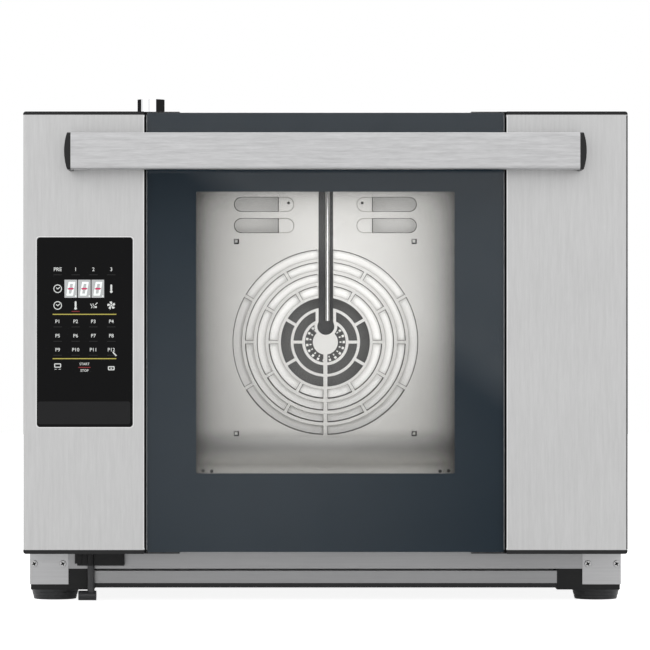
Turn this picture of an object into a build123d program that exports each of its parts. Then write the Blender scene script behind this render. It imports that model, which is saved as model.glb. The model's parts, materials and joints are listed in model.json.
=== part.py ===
from build123d import *
from math import cos, radians, sin
import os

# Countertop convection oven for four 460 x 330 mm trays, with a full-width drop-down door.
# Millimetres. The origin is on the floor, in the middle of the overall width and depth.
# X runs to the right as the user faces the oven, Y to the back and Z up.

os.makedirs("parts", exist_ok=True)

# Overall sizes
width = 600.0
depth = 669.0
height = 518.0
half_width = width / 2
sides = {"left": -1, "right": 1}

# Planes from front to back
handle_reach = 48.0
door_thickness = 58.0
seal_gap = 4.0
cavity_depth = 345.0
fan_space = 62.0
handle_face_y = -depth / 2
door_face_y = handle_face_y + handle_reach
door_back_y = door_face_y + door_thickness
body_face_y = door_back_y + seal_gap
rail_face_y = body_face_y + 16.0
guard_y = body_face_y + cavity_depth
rear_face_y = 316.0
rear_fitting_y = depth / 2

# Levels from the floor up
block_bottom = 10.8
pan_bottom = 12.8
skirt_bottom = 16.2
lip_top = 17.4
channel_top = 30.2
rail_bottom = 32.0
door_bottom = 51.2
sill_level = 84.0
roof_level = 488.0
door_top = 490.5

# Sheet thicknesses
casing_sheet = 1.0
liner_sheet = 1.2
frame_sheet = 1.5
glass_sheet = 4.0
pan_sheet = 1.2
rail_sheet = 1.2
channel_sheet = 1.0

# Gaps round pieces, and how far a hole's cutter reaches past its sheet
sheet_gap = 0.2
pipe_gap = 0.5
hole_reach = 4.0

# Casing
casing_half = 299.0
casing_inner = casing_half - casing_sheet
rear_sheet_y = rear_face_y - casing_sheet
front_frame_y = body_face_y + liner_sheet
vent_slot = (46.0, 4.0)

# Cooking chamber, inside sizes
chamber_half = 239.0
chamber_floor = 125.0
chamber_roof = 452.0
chamber_corner = 25.0
chamber_mid = (chamber_floor + chamber_roof) / 2
chamber_height = chamber_roof - chamber_floor
insulation_depth = 36.0

# Fan guard: slot rings as inner radius, outer radius and the angles of the bars that cross them
guard_sheet = 1.5
guard_half = 214.0
guard_top = 449.0
guard_bend = 31.0
fan_z = 259.8
guard_bar = 3.3
guard_spine = 4.4
sixths = (30, 90, 150, 210, 270, 330)
quarters = (0, 60, 120, 180, 240, 300)
guard_rings = (
    (13.7, 22.3, (270,)),
    (25.4, 34.9, (0, 90, 180, 270)),
    (37.9, 48.7, sixths),
    (51.7, 62.1, quarters),
    (65.6, 75.0, sixths),
    (78.7, 87.9, quarters),
    (91.3, 101.6, sixths),
)
pipe_slot_x = (-7.5, 8.5)
pipe_slot_end_z = 277.0
pipe_slot_end_radius = 9.3
pipe_slot_rim = 3.2
finger_levels = (387.2, 410.4)
finger_inner = 34.0
finger_step = 51.0
finger_outer = 100.0
finger_height = 16.3

# Fan and motor
liner_back_y = guard_y + guard_sheet + fan_space
impeller_radius = 102.6
impeller_eye = 49.5
impeller_front_y = 134.5
impeller_back_y = 174.0
blade_count = 24
shaft_radius = 6.0
shaft_clearance = 0.05
motor_plate_y = 223.0
motor_radius = 46.0

# Pipes and fittings
pipe_x = 2.3
pipe_y = 118.5
pipe_level = 440.0
pipe_radius = 2.75
valve_x = -120.0
valve_z = 110.0
inlet_radius = 13.2
chimney_x = -185.4
chimney_y = 0.0
chimney_radius = 14.4
chimney_bore = 13.2
chimney_flange = 18.5
collar_radii = (24.0, 17.5)
drain_y = 20.0
drain_level = 70.0
drain_radius = 10.0
drain_bore = 8.5
spigot_radius = 11.0
gland_x = 200.0
gland_z = 82.0
gland_bore = 6.2
stud_x = 245.0
stud_radius = 3.0

# Side racks for the trays
rack_post_half = 236.0
rack_post = 6.0
rack_post_y = (-160.0, 70.0)
runner_x = 225.0
runner_radius = 3.0
runner_levels = (165.0, 240.0, 315.0, 390.0)

# Door, measured back from its front face
panel_inner = 180.0
panel_sheet = 1.2
pane_half = 177.6
pane_front = 1.0
pane_seat = pane_front + glass_sheet
pane_levels = (52.6, 489.7)
frame_half = 298.5
frame_levels = (55.2, 487.2)
frame_wall = 2.0
frame_back = door_thickness - glass_sheet
window_half = 168.0
window_levels = (100.0, 462.0)
inner_pane_half = 262.0
inner_pane_levels = (106.0, 471.0)
cap_inner = 145.0
cap_back = 56.0

# Control panel in the left of the door
panel_x = -238.8
panel_z = 271.4
panel_size = (95.3, 188.4)
panel_corner = 4.0
panel_proud = 0.6
display_x = (-261.0, -217.0)
display_z = (303.0, 326.0)

# Handle
bar_half = 250.0
bar_levels = (431.2, 467.6)
bar_depth = 14.0
bar_wall = 1.5
bracket_plate = 3.4
bracket_bulge = 2.9

# Door hinge
hinge_x = 225.0
hinge_y = door_back_y - 10.0
hinge_z = 63.0
hinge_pin_radius = 4.0
hinge_eye_radius = 9.0
ear_gap = 12.0
ear_sheet = 3.0
arm_sheet = 10.0
notch_half = 16.0
notch_top = 78.0
notch_front = 22.0

# Corner blocks and feet
block_inner = 234.2
block_depth = 61.0
corner_inner = 260.0
foot_x = 275.5
foot_radii = (21.4, 24.3)
foot_y = {"front": rail_face_y + 31.0, "rear": rear_sheet_y - 31.0}
foot_stud_radius = 4.0
screw_head = 3.5
screw_shank = 1.9
screw_hole = 2.05


def block(x, y, z, mode=Mode.ADD):
    """A box between two planes on each axis, in the part that is being built."""
    spans = [sorted(pair) for pair in (x, y, z)]
    middle = tuple((low + high) / 2 for low, high in spans)
    with Locations(middle):
        Box(*(high - low for low, high in spans), mode=mode)


def rod(start, end, radius, mode=Mode.ADD):
    """A round bar between two points, in the part that is being built."""
    run = Vector(*end) - Vector(*start)
    with BuildSketch(Plane(origin=start, z_dir=run)) as section:
        Circle(radius)
    extrude(section.sketch, amount=run.length, mode=mode)


def hole_back(x, z, y, radius):
    """A round hole along Y through the sheet at depth y."""
    rod((x, y - hole_reach, z), (x, y + hole_reach, z), radius, mode=Mode.SUBTRACT)


def hole_down(x, y, z, radius):
    """A round hole along Z through the sheet at level z."""
    rod((x, y, z - hole_reach), (x, y, z + hole_reach), radius, mode=Mode.SUBTRACT)


def facing(y):
    """The upright plane at depth y: its axes are X and Z, and it faces the user."""
    return Plane.XZ.offset(-y)


def rounded_sheet(size, z, corner, y, thickness, mode=Mode.ADD):
    """A rounded rectangle facing the user, centred on X, from depth y towards the back."""
    with BuildSketch(facing(y + thickness)) as outline:
        with Locations((0, z)):
            RectangleRounded(*size, corner)
    extrude(outline.sketch, amount=thickness, mode=mode)


def in_door(distance):
    """Depth of a plane that lies this far behind the door's front face."""
    return door_face_y + distance


def save(piece, name):
    """Labels a finished piece and writes it as one file."""
    piece.part.label = name
    export_step(piece.part, f"parts/{name}.step")


def save_welded(pieces, name):
    """Labels pieces that meet face to face and writes them as one file, each still a solid."""
    solids = [solid for piece in pieces for solid in piece.part.solids()]
    export_step(Compound(solids, label=name), f"parts/{name}.step")


# Base pan: a folded floor between the corner blocks
pan_top = pan_bottom + pan_sheet
pan_notch = block_inner - sheet_gap
block_back = {"front": rail_face_y + block_depth, "rear": rear_sheet_y - block_depth}
pan_side_y = (block_back["front"] + sheet_gap, block_back["rear"] - sheet_gap)
with BuildPart() as base_pan:
    block((-casing_inner, casing_inner), (rail_face_y, rear_sheet_y), (pan_bottom, pan_top))
    for side in sides.values():
        block((side * pan_notch, side * casing_inner), (rail_face_y, pan_side_y[0]),
              (pan_bottom, pan_top), mode=Mode.SUBTRACT)
        block((side * pan_notch, side * casing_inner), (pan_side_y[1], rear_sheet_y),
              (pan_bottom, pan_top), mode=Mode.SUBTRACT)
        block((side * (casing_inner - pan_sheet), side * casing_inner), pan_side_y,
              (pan_bottom, channel_top))
    block((-pan_notch, pan_notch), (rail_face_y, rail_face_y + pan_sheet), (pan_bottom, lip_top))
    block((-pan_notch, pan_notch), (rear_sheet_y - pan_sheet, rear_sheet_y),
          (pan_bottom, channel_top))
save(base_pan, "base_pan")

# Drip channel: an open trough along the front, between the corner blocks
channel_back_y = rail_face_y + 40.0
with BuildPart() as drip_channel:
    block((-block_inner, block_inner), (rail_face_y, channel_back_y), (lip_top, channel_top))
    block((channel_sheet - block_inner, block_inner - channel_sheet),
          (rail_face_y + channel_sheet, channel_back_y - channel_sheet),
          (lip_top + channel_sheet, channel_top), mode=Mode.SUBTRACT)
    rim = drip_channel.edges().filter_by(Axis.X).group_by(Axis.Z)[-1].sort_by(Axis.Y)[0]
    fillet(rim, radius=0.6)
save(drip_channel, "drip_channel")

# Front rail: a folded strip under the door, with a sill that runs forward to the front frame
screw_level = 37.0
corner_screws = (265.5, 294.5)
bracket_screw_level = 77.0
rail_return = 20.0
sill_top = sill_level + rail_sheet
with BuildPart() as front_rail:
    block((-casing_inner, casing_inner), (rail_face_y, rail_face_y + rail_sheet),
          (rail_bottom, sill_top))
    block((-casing_inner, casing_inner), (rail_face_y, rail_face_y + rail_return),
          (rail_bottom, rail_bottom + rail_sheet))
    block((-casing_inner, casing_inner), (front_frame_y + frame_sheet, rail_face_y),
          (sill_level, sill_top))
    for side in sides.values():
        for x in corner_screws:
            hole_back(side * x, screw_level, rail_face_y, screw_hole)
        hole_back(side * hinge_x, bracket_screw_level, rail_face_y, screw_hole)
save(front_rail, "front_rail")

# Corner plates at the two front corners of the base
with BuildPart() as corner_plates:
    for side in sides.values():
        block((side * corner_inner, side * casing_half), (rail_face_y - rail_sheet, rail_face_y),
              (skirt_bottom, sill_level - 1))
        for x in corner_screws:
            hole_back(side * x, screw_level, rail_face_y, screw_hole)
save(corner_plates, "corner_plates")

# Corner blocks, each with a blind hole for its foot's stud
stud_top = 26.0
with BuildPart() as foot_blocks:
    for side in sides.values():
        for end, middle in foot_y.items():
            edge = rail_face_y if end == "front" else rear_sheet_y
            block((side * block_inner, side * casing_inner), (edge, block_back[end]),
                  (block_bottom, rail_bottom))
            rod((side * foot_x, middle, block_bottom), (side * foot_x, middle, stud_top),
                foot_stud_radius + 0.1, mode=Mode.SUBTRACT)
save(foot_blocks, "foot_blocks")

# Rubber feet: turned, tapered, with two grooves and a stud
groove_levels = (3.0, 7.0)
groove_width = 0.7
groove_depth = 1.2
with BuildPart() as rubber_feet:
    for side in sides.values():
        for middle in foot_y.values():
            with BuildSketch(Plane.XZ.offset(-middle)) as foot_profile:
                with BuildLine(Plane.XZ.offset(-middle)):
                    Polyline(
                        (side * foot_x, 0),
                        (side * foot_x + foot_radii[0], 0),
                        (side * foot_x + foot_radii[1], block_bottom),
                        (side * foot_x + foot_stud_radius, block_bottom),
                        (side * foot_x + foot_stud_radius, stud_top - 2),
                        (side * foot_x, stud_top - 2),
                        close=True,
                    )
                make_face()
            revolve(foot_profile.sketch, axis=Axis((side * foot_x, middle, 0), (0, 0, 1)))
            for level in groove_levels:
                radius = foot_radii[0] + (foot_radii[1] - foot_radii[0]) * level / block_bottom
                with BuildSketch(Plane((side * foot_x, middle, level))) as groove:
                    Circle(radius + 1)
                    Circle(radius - groove_depth, mode=Mode.SUBTRACT)
                extrude(groove.sketch, amount=groove_width, mode=Mode.SUBTRACT)
save(rubber_feet, "rubber_feet")

# Side panels: cut back below the sill, with vent slots near the rear and flanges for screws
panel_flange = 18.0
flange_screw_x = 289.0
top_screw_y = (-170.0, 50.0, 270.0)
rear_screw_z = (48.0, 190.0, 330.0, 470.0)
side_vents = ((262.0, 118.0), (262.0, 420.0))
side_vent_pitch = 11.0
for name, side in sides.items():
    with BuildPart() as side_panel:
        with BuildSketch(Plane.YZ.offset(side * casing_inner if side > 0 else -casing_half)):
            with BuildLine():
                Polyline(
                    (body_face_y, sill_level),
                    (body_face_y, roof_level - casing_sheet),
                    (rear_sheet_y, roof_level - casing_sheet),
                    (rear_sheet_y, skirt_bottom),
                    (rail_face_y, skirt_bottom),
                    (rail_face_y, sill_level),
                    close=True,
                )
            make_face()
            with Locations(*side_vents):
                with GridLocations(0, side_vent_pitch, 1, 6):
                    SlotOverall(*vent_slot, mode=Mode.SUBTRACT)
        extrude(amount=casing_sheet)
        block((side * (casing_inner - panel_flange), side * casing_inner),
              (rear_sheet_y - casing_sheet, rear_sheet_y), (rail_bottom + 1, roof_level - 2))
        block((side * (casing_inner - panel_flange), side * casing_inner),
              (front_frame_y + 20, rear_sheet_y - 2), (roof_level - 2, roof_level - 1))
        for z in rear_screw_z:
            hole_back(side * flange_screw_x, z, rear_sheet_y, screw_hole)
        for y in top_screw_y:
            hole_down(side * flange_screw_x, y, roof_level, screw_hole)
    save(side_panel, f"side_panel_{name}")

# Top panel, with the hole for the chimney
top_screws = [(side * flange_screw_x, y) for side in sides.values() for y in top_screw_y]
with BuildPart() as top_panel:
    block((-casing_half, casing_half), (body_face_y, rear_face_y),
          (roof_level - casing_sheet, roof_level))
    hole_down(chimney_x, chimney_y, roof_level, chimney_radius + pipe_gap)
    for x, y in top_screws:
        hole_down(x, y, roof_level, screw_hole)
save(top_panel, "top_panel")

# Rear panel: vent slots over the cooling fan and low down, and a hole for each fitting
cooling_x = -190.0
cooling_z = 400.0
rear_screws = [(side * flange_screw_x, z) for side in sides.values() for z in rear_screw_z]
cooling_vent = (66.0, 4.0)
rear_vents = (190.0, 240.0)
gland_thread = 8.5
rear_holes = (
    (0, drain_level, spigot_radius + pipe_gap),
    (valve_x, valve_z, inlet_radius + pipe_gap),
    (gland_x, gland_z, gland_thread + 0.1),
    (stud_x, gland_z, stud_radius + 0.1),
)
with BuildPart() as rear_panel:
    with BuildSketch(facing(rear_face_y)):
        with Locations((0, (skirt_bottom + roof_level - casing_sheet) / 2)):
            Rectangle(2 * casing_half, roof_level - casing_sheet - skirt_bottom)
        with Locations((cooling_x, cooling_z)):
            with GridLocations(0, 9, 1, 8):
                SlotOverall(*cooling_vent, mode=Mode.SUBTRACT)
        with Locations(rear_vents):
            with GridLocations(58, 10, 2, 7):
                SlotOverall(*vent_slot, mode=Mode.SUBTRACT)
        for x, z, radius in rear_holes:
            with Locations((x, z)):
                Circle(radius, mode=Mode.SUBTRACT)
        with Locations(*rear_screws):
            Circle(screw_hole, mode=Mode.SUBTRACT)
    extrude(amount=casing_sheet)
save(rear_panel, "rear_panel")

# Front frame: the plate round the chamber's mouth, folded back at the sides and the top
fold_depth = 16.0
mouth_gap = 1.4
with BuildPart() as front_frame:
    with BuildSketch(facing(front_frame_y + frame_sheet)):
        with Locations((0, (sill_level + roof_level - casing_sheet) / 2)):
            Rectangle(2 * casing_inner, roof_level - casing_sheet - sill_level)
        with Locations((0, chamber_mid)):
            RectangleRounded(2 * (chamber_half + mouth_gap), chamber_height + 2 * mouth_gap,
                             chamber_corner + mouth_gap, mode=Mode.SUBTRACT)
    extrude(amount=frame_sheet)
    fold_y = (front_frame_y + frame_sheet, front_frame_y + frame_sheet + fold_depth)
    for side in sides.values():
        block((side * (casing_inner - frame_sheet), side * casing_inner), fold_y,
              (sill_top, roof_level - casing_sheet))
    block((-casing_inner, casing_inner), fold_y,
          (roof_level - casing_sheet - frame_sheet, roof_level - casing_sheet))
save(front_frame, "front_frame")

# Chamber liner: open at the front, of sheets and corner strips welded edge to edge
element_radius = 115.0
element_rod = 3.2
elements = ((142.0, 10.0), (160.0, 20.0))
element_legs = [(y, sign * gap) for y, gap in elements for sign in (-1, 1)]
probe = (150.0, 400.0)


def on_ring(angle):
    """X and Z of a point on the heating element, by its angle from the lowest point."""
    turn = radians(angle - 90)
    return element_radius * cos(turn), fan_z + element_radius * sin(turn)


inside = (2 * chamber_half, chamber_height)
outside = (inside[0] + 2 * liner_sheet, inside[1] + 2 * liner_sheet)
outside_corner = chamber_corner + liner_sheet
flange_width = 29.0
flange = (inside[0] + 2 * flange_width, inside[1] + 2 * flange_width)
flange_corner = 40.0
flange_back_y = body_face_y + liner_sheet
seams = [Plane.YZ.offset(side * (chamber_half - chamber_corner)) for side in sides.values()]
seams += [Plane.XY.offset(chamber_floor + chamber_corner)]
seams += [Plane.XY.offset(chamber_roof - chamber_corner)]
with BuildPart() as liner_walls:
    rounded_sheet(outside, chamber_mid, outside_corner, flange_back_y, liner_back_y - flange_back_y)
    rounded_sheet(inside, chamber_mid, chamber_corner, flange_back_y, liner_back_y - flange_back_y,
                  mode=Mode.SUBTRACT)
    hole_down(0, drain_y, chamber_floor, drain_bore)
    hole_down(chimney_x, chimney_y, chamber_roof, chimney_radius + shaft_clearance)
    for seam in seams:
        split(bisect_by=seam, keep=Keep.BOTH)

with BuildPart() as liner_flange:
    rounded_sheet(flange, chamber_mid, flange_corner, body_face_y, liner_sheet)
    rounded_sheet(inside, chamber_mid, chamber_corner, body_face_y, liner_sheet, mode=Mode.SUBTRACT)
    for seam in seams:
        split(bisect_by=seam, keep=Keep.BOTH)

wall_holes = [(0, fan_z, 9.0), (pipe_x, pipe_level, pipe_radius + 0.4), (*probe, 3.3)]
wall_holes += [(*on_ring(angle), element_rod + 0.4) for y, angle in element_legs]
with BuildPart() as liner_back:
    rounded_sheet(outside, chamber_mid, outside_corner, liner_back_y, liner_sheet)
    for x, z, radius in wall_holes:
        hole_back(x, z, liner_back_y, radius)
save_welded((liner_walls, liner_flange, liner_back), "chamber_liner")

# Chamber gasket: a silicone ring round the chamber's mouth
gasket_depth = seal_gap - 0.3
gasket_face_y = body_face_y - gasket_depth
gasket_inside = (490.0, chamber_height)
gasket_outside = (514.0, chamber_height + 24.0)
with BuildPart() as chamber_gasket:
    rounded_sheet(gasket_outside, chamber_mid, 38, gasket_face_y, gasket_depth)
    rounded_sheet(gasket_inside, chamber_mid, 26, gasket_face_y, gasket_depth, mode=Mode.SUBTRACT)
    front_edges = chamber_gasket.faces().sort_by(Axis.Y)[0].edges()
    fillet(front_edges, radius=1.4)
save(chamber_gasket, "chamber_gasket")

# Insulation: slabs round the liner, with openings for what passes through them
liner_half = chamber_half + liner_sheet
slab_back_y = liner_back_y + liner_sheet
slab_front_y = front_frame_y + 22
slab_levels = (92.0, 480.0)
slab_half = 292.0
with BuildPart() as insulation:
    for side in sides.values():
        block((side * liner_half, side * slab_half), (slab_front_y, slab_back_y), slab_levels)
    block((-liner_half, liner_half), (slab_front_y, slab_back_y),
          (slab_levels[0], chamber_floor - liner_sheet))
    block((-liner_half, liner_half), (slab_front_y, slab_back_y),
          (chamber_roof + liner_sheet, slab_levels[1]))
    block((-slab_half, slab_half), (slab_back_y, slab_back_y + insulation_depth), slab_levels)
    rod((0, slab_back_y - 1, fan_z), (0, slab_back_y + insulation_depth + 1, fan_z), 128,
        mode=Mode.SUBTRACT)
    for x, z, radius in ((pipe_x, pipe_level, pipe_radius + 0.5), (*probe, 8.5)):
        rod((x, slab_back_y - 1, z), (x, slab_back_y + insulation_depth + 1, z), radius,
            mode=Mode.SUBTRACT)
    rod((0, drain_y, slab_levels[0] - 1), (0, drain_y, chamber_floor), 18, mode=Mode.SUBTRACT)
    rod((chimney_x, chimney_y, chamber_roof), (chimney_x, chimney_y, slab_levels[1] + 1),
        chimney_flange + 1,
        mode=Mode.SUBTRACT)
save(insulation, "insulation")

# Fan guard: a sheet that curves forward on to the floor, with ring slots in front of the fan
guard_back_y = guard_y + guard_sheet
bend_y = guard_back_y - guard_bend
bend_z = chamber_floor + guard_bend
inner_bend = guard_bend - guard_sheet
corner_cos = cos(radians(45))
corner_studs = [(side * 195.0, z) for side in sides.values() for z in (175.0, 430.0)]
square_studs = [(side * 97.2, z) for side in sides.values() for z in (159.7, 369.8)]
square_hole = 5.6
guard_foot = 8.0
guard_fold = 18.0
guard_dots = [(side * 40.3, 412.0) for side in sides.values()]
slot_mid_x = (pipe_slot_x[0] + pipe_slot_x[1]) / 2
slot_width = pipe_slot_x[1] - pipe_slot_x[0]
slot_end_z = guard_top + 1
finger_length = finger_outer - finger_inner
finger_mid = (finger_inner + finger_outer) / 2
finger_recess = 0.9
finger_slope = 45.0
with BuildPart() as fan_guard:
    with BuildSketch(Plane.YZ):
        with BuildLine():
            Line((guard_back_y, guard_top), (guard_back_y, bend_z))
            ThreePointArc(
                (guard_back_y, bend_z),
                (bend_y + guard_bend * corner_cos, bend_z - guard_bend * corner_cos),
                (bend_y, chamber_floor),
            )
            Polyline(
                (bend_y, chamber_floor),
                (bend_y - guard_foot, chamber_floor),
                (bend_y, chamber_floor + guard_sheet),
            )
            ThreePointArc(
                (bend_y, chamber_floor + guard_sheet),
                (bend_y + inner_bend * corner_cos, bend_z - inner_bend * corner_cos),
                (guard_y, bend_z),
            )
            Polyline((guard_y, bend_z), (guard_y, guard_top), (guard_back_y, guard_top))
        make_face()
    extrude(amount=guard_half, both=True)
    for side in sides.values():
        block((side * (guard_half - guard_sheet), side * guard_half),
              (guard_back_y, guard_back_y + guard_fold), (bend_z, guard_top))
    for inner, outer, angles in guard_rings:
        with BuildSketch(facing(guard_back_y + 1)) as slots:
            with Locations((0, fan_z)):
                Circle(outer)
                Circle(inner, mode=Mode.SUBTRACT)
                for angle in angles:
                    with PolarLocations((inner + outer) / 2, 1, start_angle=angle):
                        Rectangle(outer - inner + 2, guard_bar, mode=Mode.SUBTRACT)
            with Locations((0, fan_z - outer / 2)):
                Rectangle(guard_spine, outer + 2, mode=Mode.SUBTRACT)
            if outer < 36:
                with Locations((slot_mid_x, pipe_slot_end_z)):
                    Circle(pipe_slot_end_radius + pipe_slot_rim, mode=Mode.SUBTRACT)
                    with Locations((0, 20)):
                        Rectangle(slot_width + 2 * pipe_slot_rim, 40, mode=Mode.SUBTRACT)
        extrude(slots.sketch, amount=guard_sheet + 2, mode=Mode.SUBTRACT)
    with BuildSketch(facing(guard_back_y + 1)):
        with Locations((slot_mid_x, pipe_slot_end_z)):
            Circle(pipe_slot_end_radius)
        with Locations((slot_mid_x, (pipe_slot_end_z + slot_end_z) / 2)):
            Rectangle(slot_width, slot_end_z - pipe_slot_end_z)
        with Locations(*square_studs):
            Rectangle(square_hole, square_hole)
        with Locations(*corner_studs):
            Circle(2.6)
        with Locations(*guard_dots):
            Circle(1.5)
    extrude(amount=guard_sheet + 2, mode=Mode.SUBTRACT)
    for side in sides.values():
        for z in finger_levels:
            with BuildSketch(facing(guard_back_y + 1)) as finger_slot:
                with Locations((side * finger_mid, z)):
                    SlotOverall(finger_length, finger_height)
                with Locations((side * (finger_step - 20), z)):
                    Rectangle(40, finger_height + 2, mode=Mode.SUBTRACT)
            extrude(finger_slot.sketch, amount=guard_sheet + 2, mode=Mode.SUBTRACT)
            with BuildSketch(facing(guard_y)) as finger_dish:
                with Locations((side * finger_mid, z)):
                    SlotOverall(finger_length, finger_height)
            extrude(finger_dish.sketch, amount=-finger_recess, taper=finger_slope, mode=Mode.SUBTRACT)
save(fan_guard, "fan_guard")

# Guard posts: threaded posts at the corners and thin locating pins in the square holes
post_radius = 4.0
post_thread = 2.5
pin_radius = 1.6
with BuildPart() as guard_posts:
    for x, z in corner_studs:
        rod((x, guard_back_y, z), (x, liner_back_y, z), post_radius)
        rod((x, guard_back_y, z), (x, guard_back_y + 12, z), post_thread, mode=Mode.SUBTRACT)
    for x, z in square_studs:
        rod((x, guard_y + 0.3, z), (x, liner_back_y, z), pin_radius)
save(guard_posts, "guard_posts")

# Guard screws: domed heads in front of the guard
guard_head_y = guard_y - 2.6
with BuildPart() as guard_screws:
    for x, z in corner_studs:
        rod((x, guard_head_y, z), (x, guard_y, z), 4.5)
        rod((x, guard_y, z), (x, guard_back_y + 10, z), post_thread - 0.1)
        for half_x, half_z in ((3.2, 0.5), (0.5, 3.2)):
            block((x - half_x, x + half_x), (guard_head_y, guard_head_y + 1.2),
                  (z - half_z, z + half_z), mode=Mode.SUBTRACT)
save(guard_screws, "guard_screws")

# Pipe channel: a dark trough behind the guard's long slot, wider behind the slot's round end
channel_y = guard_back_y + 8.9
channel_bottom = 264.0
channel_neck = 294.0
channel_end = 427.0
channel_margin = 0.8
channel_deep = (guard_back_y, channel_y + channel_sheet)
bulb_x = (slot_mid_x - pipe_slot_end_radius - channel_margin - channel_sheet,
          slot_mid_x + pipe_slot_end_radius + channel_margin + channel_sheet)
with BuildPart() as pipe_channel:
    block(bulb_x, channel_deep, (channel_bottom, channel_neck))
    block(pipe_slot_x, channel_deep, (channel_neck, channel_end))
    block((bulb_x[0] + channel_sheet, bulb_x[1] - channel_sheet), (guard_back_y, channel_y),
          (channel_bottom + channel_sheet, channel_neck - channel_sheet), mode=Mode.SUBTRACT)
    block((pipe_slot_x[0] + channel_sheet, pipe_slot_x[1] - channel_sheet), (guard_back_y, channel_y),
          (channel_neck - channel_sheet, channel_end), mode=Mode.SUBTRACT)
save(pipe_channel, "pipe_channel")

# Side racks: two posts and four wire runners a side, each wire a piece of its own
wire_gap = 0.05
post_inner = rack_post_half - rack_post / 2
for name, side in sides.items():
    with BuildPart() as rack:
        for y in rack_post_y:
            block((side * post_inner, side * chamber_half), (y - rack_post / 2, y + rack_post / 2),
                  (chamber_floor + chamber_corner, chamber_roof - chamber_corner))
        for level in runner_levels:
            with BuildLine(Plane.XY.offset(level)) as route:
                FilletPolyline(
                    (side * (post_inner - wire_gap), rack_post_y[0]),
                    (side * runner_x, rack_post_y[0]),
                    (side * runner_x, rack_post_y[1]),
                    (side * (post_inner - wire_gap), rack_post_y[1]),
                    radius=6,
                )
            with BuildSketch(Plane(origin=route.line @ 0, z_dir=route.line % 0)) as wire:
                Circle(runner_radius)
            sweep(wire.sketch, path=route.line)
    save(rack, f"rack_{name}")

# Humidity pipe: from the water valve over the chamber's rear wall, then down through the slot
pipe_run_y = 240.0
valve_top = valve_z + 22
with BuildPart() as humidity_pipe:
    with BuildLine() as pipe_route:
        FilletPolyline(
            (pipe_x, pipe_y, 283),
            (pipe_x, pipe_y, pipe_level),
            (pipe_x, pipe_run_y, pipe_level),
            (valve_x, pipe_run_y, pipe_level),
            (valve_x, pipe_run_y, valve_top),
            radius=11,
        )
    with BuildSketch(Plane(origin=pipe_route.line @ 0, z_dir=pipe_route.line % 0)):
        Circle(pipe_radius)
    sweep()
    rod((pipe_x, pipe_y, 282), (pipe_x, pipe_y, 291), pipe_radius - 0.8, mode=Mode.SUBTRACT)
save(humidity_pipe, "humidity_pipe")

# Heating element: two open rings round the fan, each with a pair of legs through the wall
with BuildPart() as heating_element:
    for y, gap in elements:
        x, z = on_ring(gap)
        turn = radians(gap)
        with BuildSketch(Plane(origin=(x, y, z), z_dir=(cos(turn), 0, sin(turn)))) as section:
            Circle(element_rod)
        revolve(section.sketch, axis=Axis((0, y, fan_z), (0, -1, 0)), revolution_arc=360 - 2 * gap)
        for angle in (-gap, gap):
            x, z = on_ring(angle)
            with Locations((x, y, z)):
                Sphere(element_rod)
            rod((x, y, z), (x, liner_back_y + 14, z), element_rod)
save(heating_element, "heating_element")

# Motor plate: stands on four spacers against the liner
spacer = 68.0
with BuildPart() as motor_plate:
    rod((0, motor_plate_y, fan_z), (0, motor_plate_y + 2.5, fan_z), 104)
    for x in (-spacer, spacer):
        for z in (fan_z - spacer, fan_z + spacer):
            rod((x, slab_back_y, z), (x, motor_plate_y, z), 5)
    hole_back(0, fan_z, motor_plate_y, 14)
save(motor_plate, "motor_plate")

# Fan motor: finned body with a bearing bore for the shaft
motor_y = motor_plate_y + 2.5
shaft_bore = shaft_radius + shaft_clearance
shaft_end_y = 288.0
with BuildPart() as fan_motor:
    rod((0, motor_y, fan_z), (0, motor_y + 4, fan_z), 52)
    rod((0, motor_y + 4, fan_z), (0, motor_y + 58, fan_z), motor_radius - 6)
    rod((0, motor_y + 58, fan_z), (0, motor_y + 66, fan_z), motor_radius - 10)
    with BuildSketch(facing(motor_y + 58)) as fins:
        with Locations((0, fan_z)):
            with PolarLocations(motor_radius - 4, 20):
                Rectangle(8, 2.4)
    extrude(fins.sketch, amount=54)
    rod((0, motor_y - 1, fan_z), (0, shaft_end_y + 1, fan_z), shaft_bore, mode=Mode.SUBTRACT)
save(fan_motor, "fan_motor")

# Motor shaft: stepped, with a shoulder behind the impeller
hub_front_y = 150.0
with BuildPart() as motor_shaft:
    rod((0, hub_front_y, fan_z), (0, shaft_end_y, fan_z), shaft_radius)
    rod((0, impeller_back_y, fan_z), (0, impeller_back_y + 5, fan_z), 8)
    rod((0, hub_front_y - 11, fan_z), (0, hub_front_y, fan_z), shaft_radius - 1)
save(motor_shaft, "motor_shaft")

# Fan impeller: back plate, hub, radial blades and a front ring round the eye
blade_sheet = 1.5
with BuildPart() as fan_impeller:
    rod((0, impeller_back_y - blade_sheet, fan_z), (0, impeller_back_y, fan_z), impeller_radius)
    rod((0, hub_front_y, fan_z), (0, impeller_back_y, fan_z), 15)
    with BuildSketch(facing(impeller_front_y + blade_sheet)) as front_ring:
        with Locations((0, fan_z)):
            Circle(impeller_radius)
            Circle(impeller_eye, mode=Mode.SUBTRACT)
    extrude(front_ring.sketch, amount=blade_sheet)
    with BuildSketch(facing(impeller_back_y - blade_sheet)) as blades:
        with Locations((0, fan_z)):
            with PolarLocations((impeller_eye + impeller_radius) / 2 + 1, blade_count):
                Rectangle(impeller_radius - impeller_eye - 4, blade_sheet)
    extrude(blades.sketch, amount=impeller_back_y - impeller_front_y - 2 * blade_sheet)
    rod((0, hub_front_y - 1, fan_z), (0, impeller_back_y + 1, fan_z), shaft_bore,
        mode=Mode.SUBTRACT)
save(fan_impeller, "fan_impeller")

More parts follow.
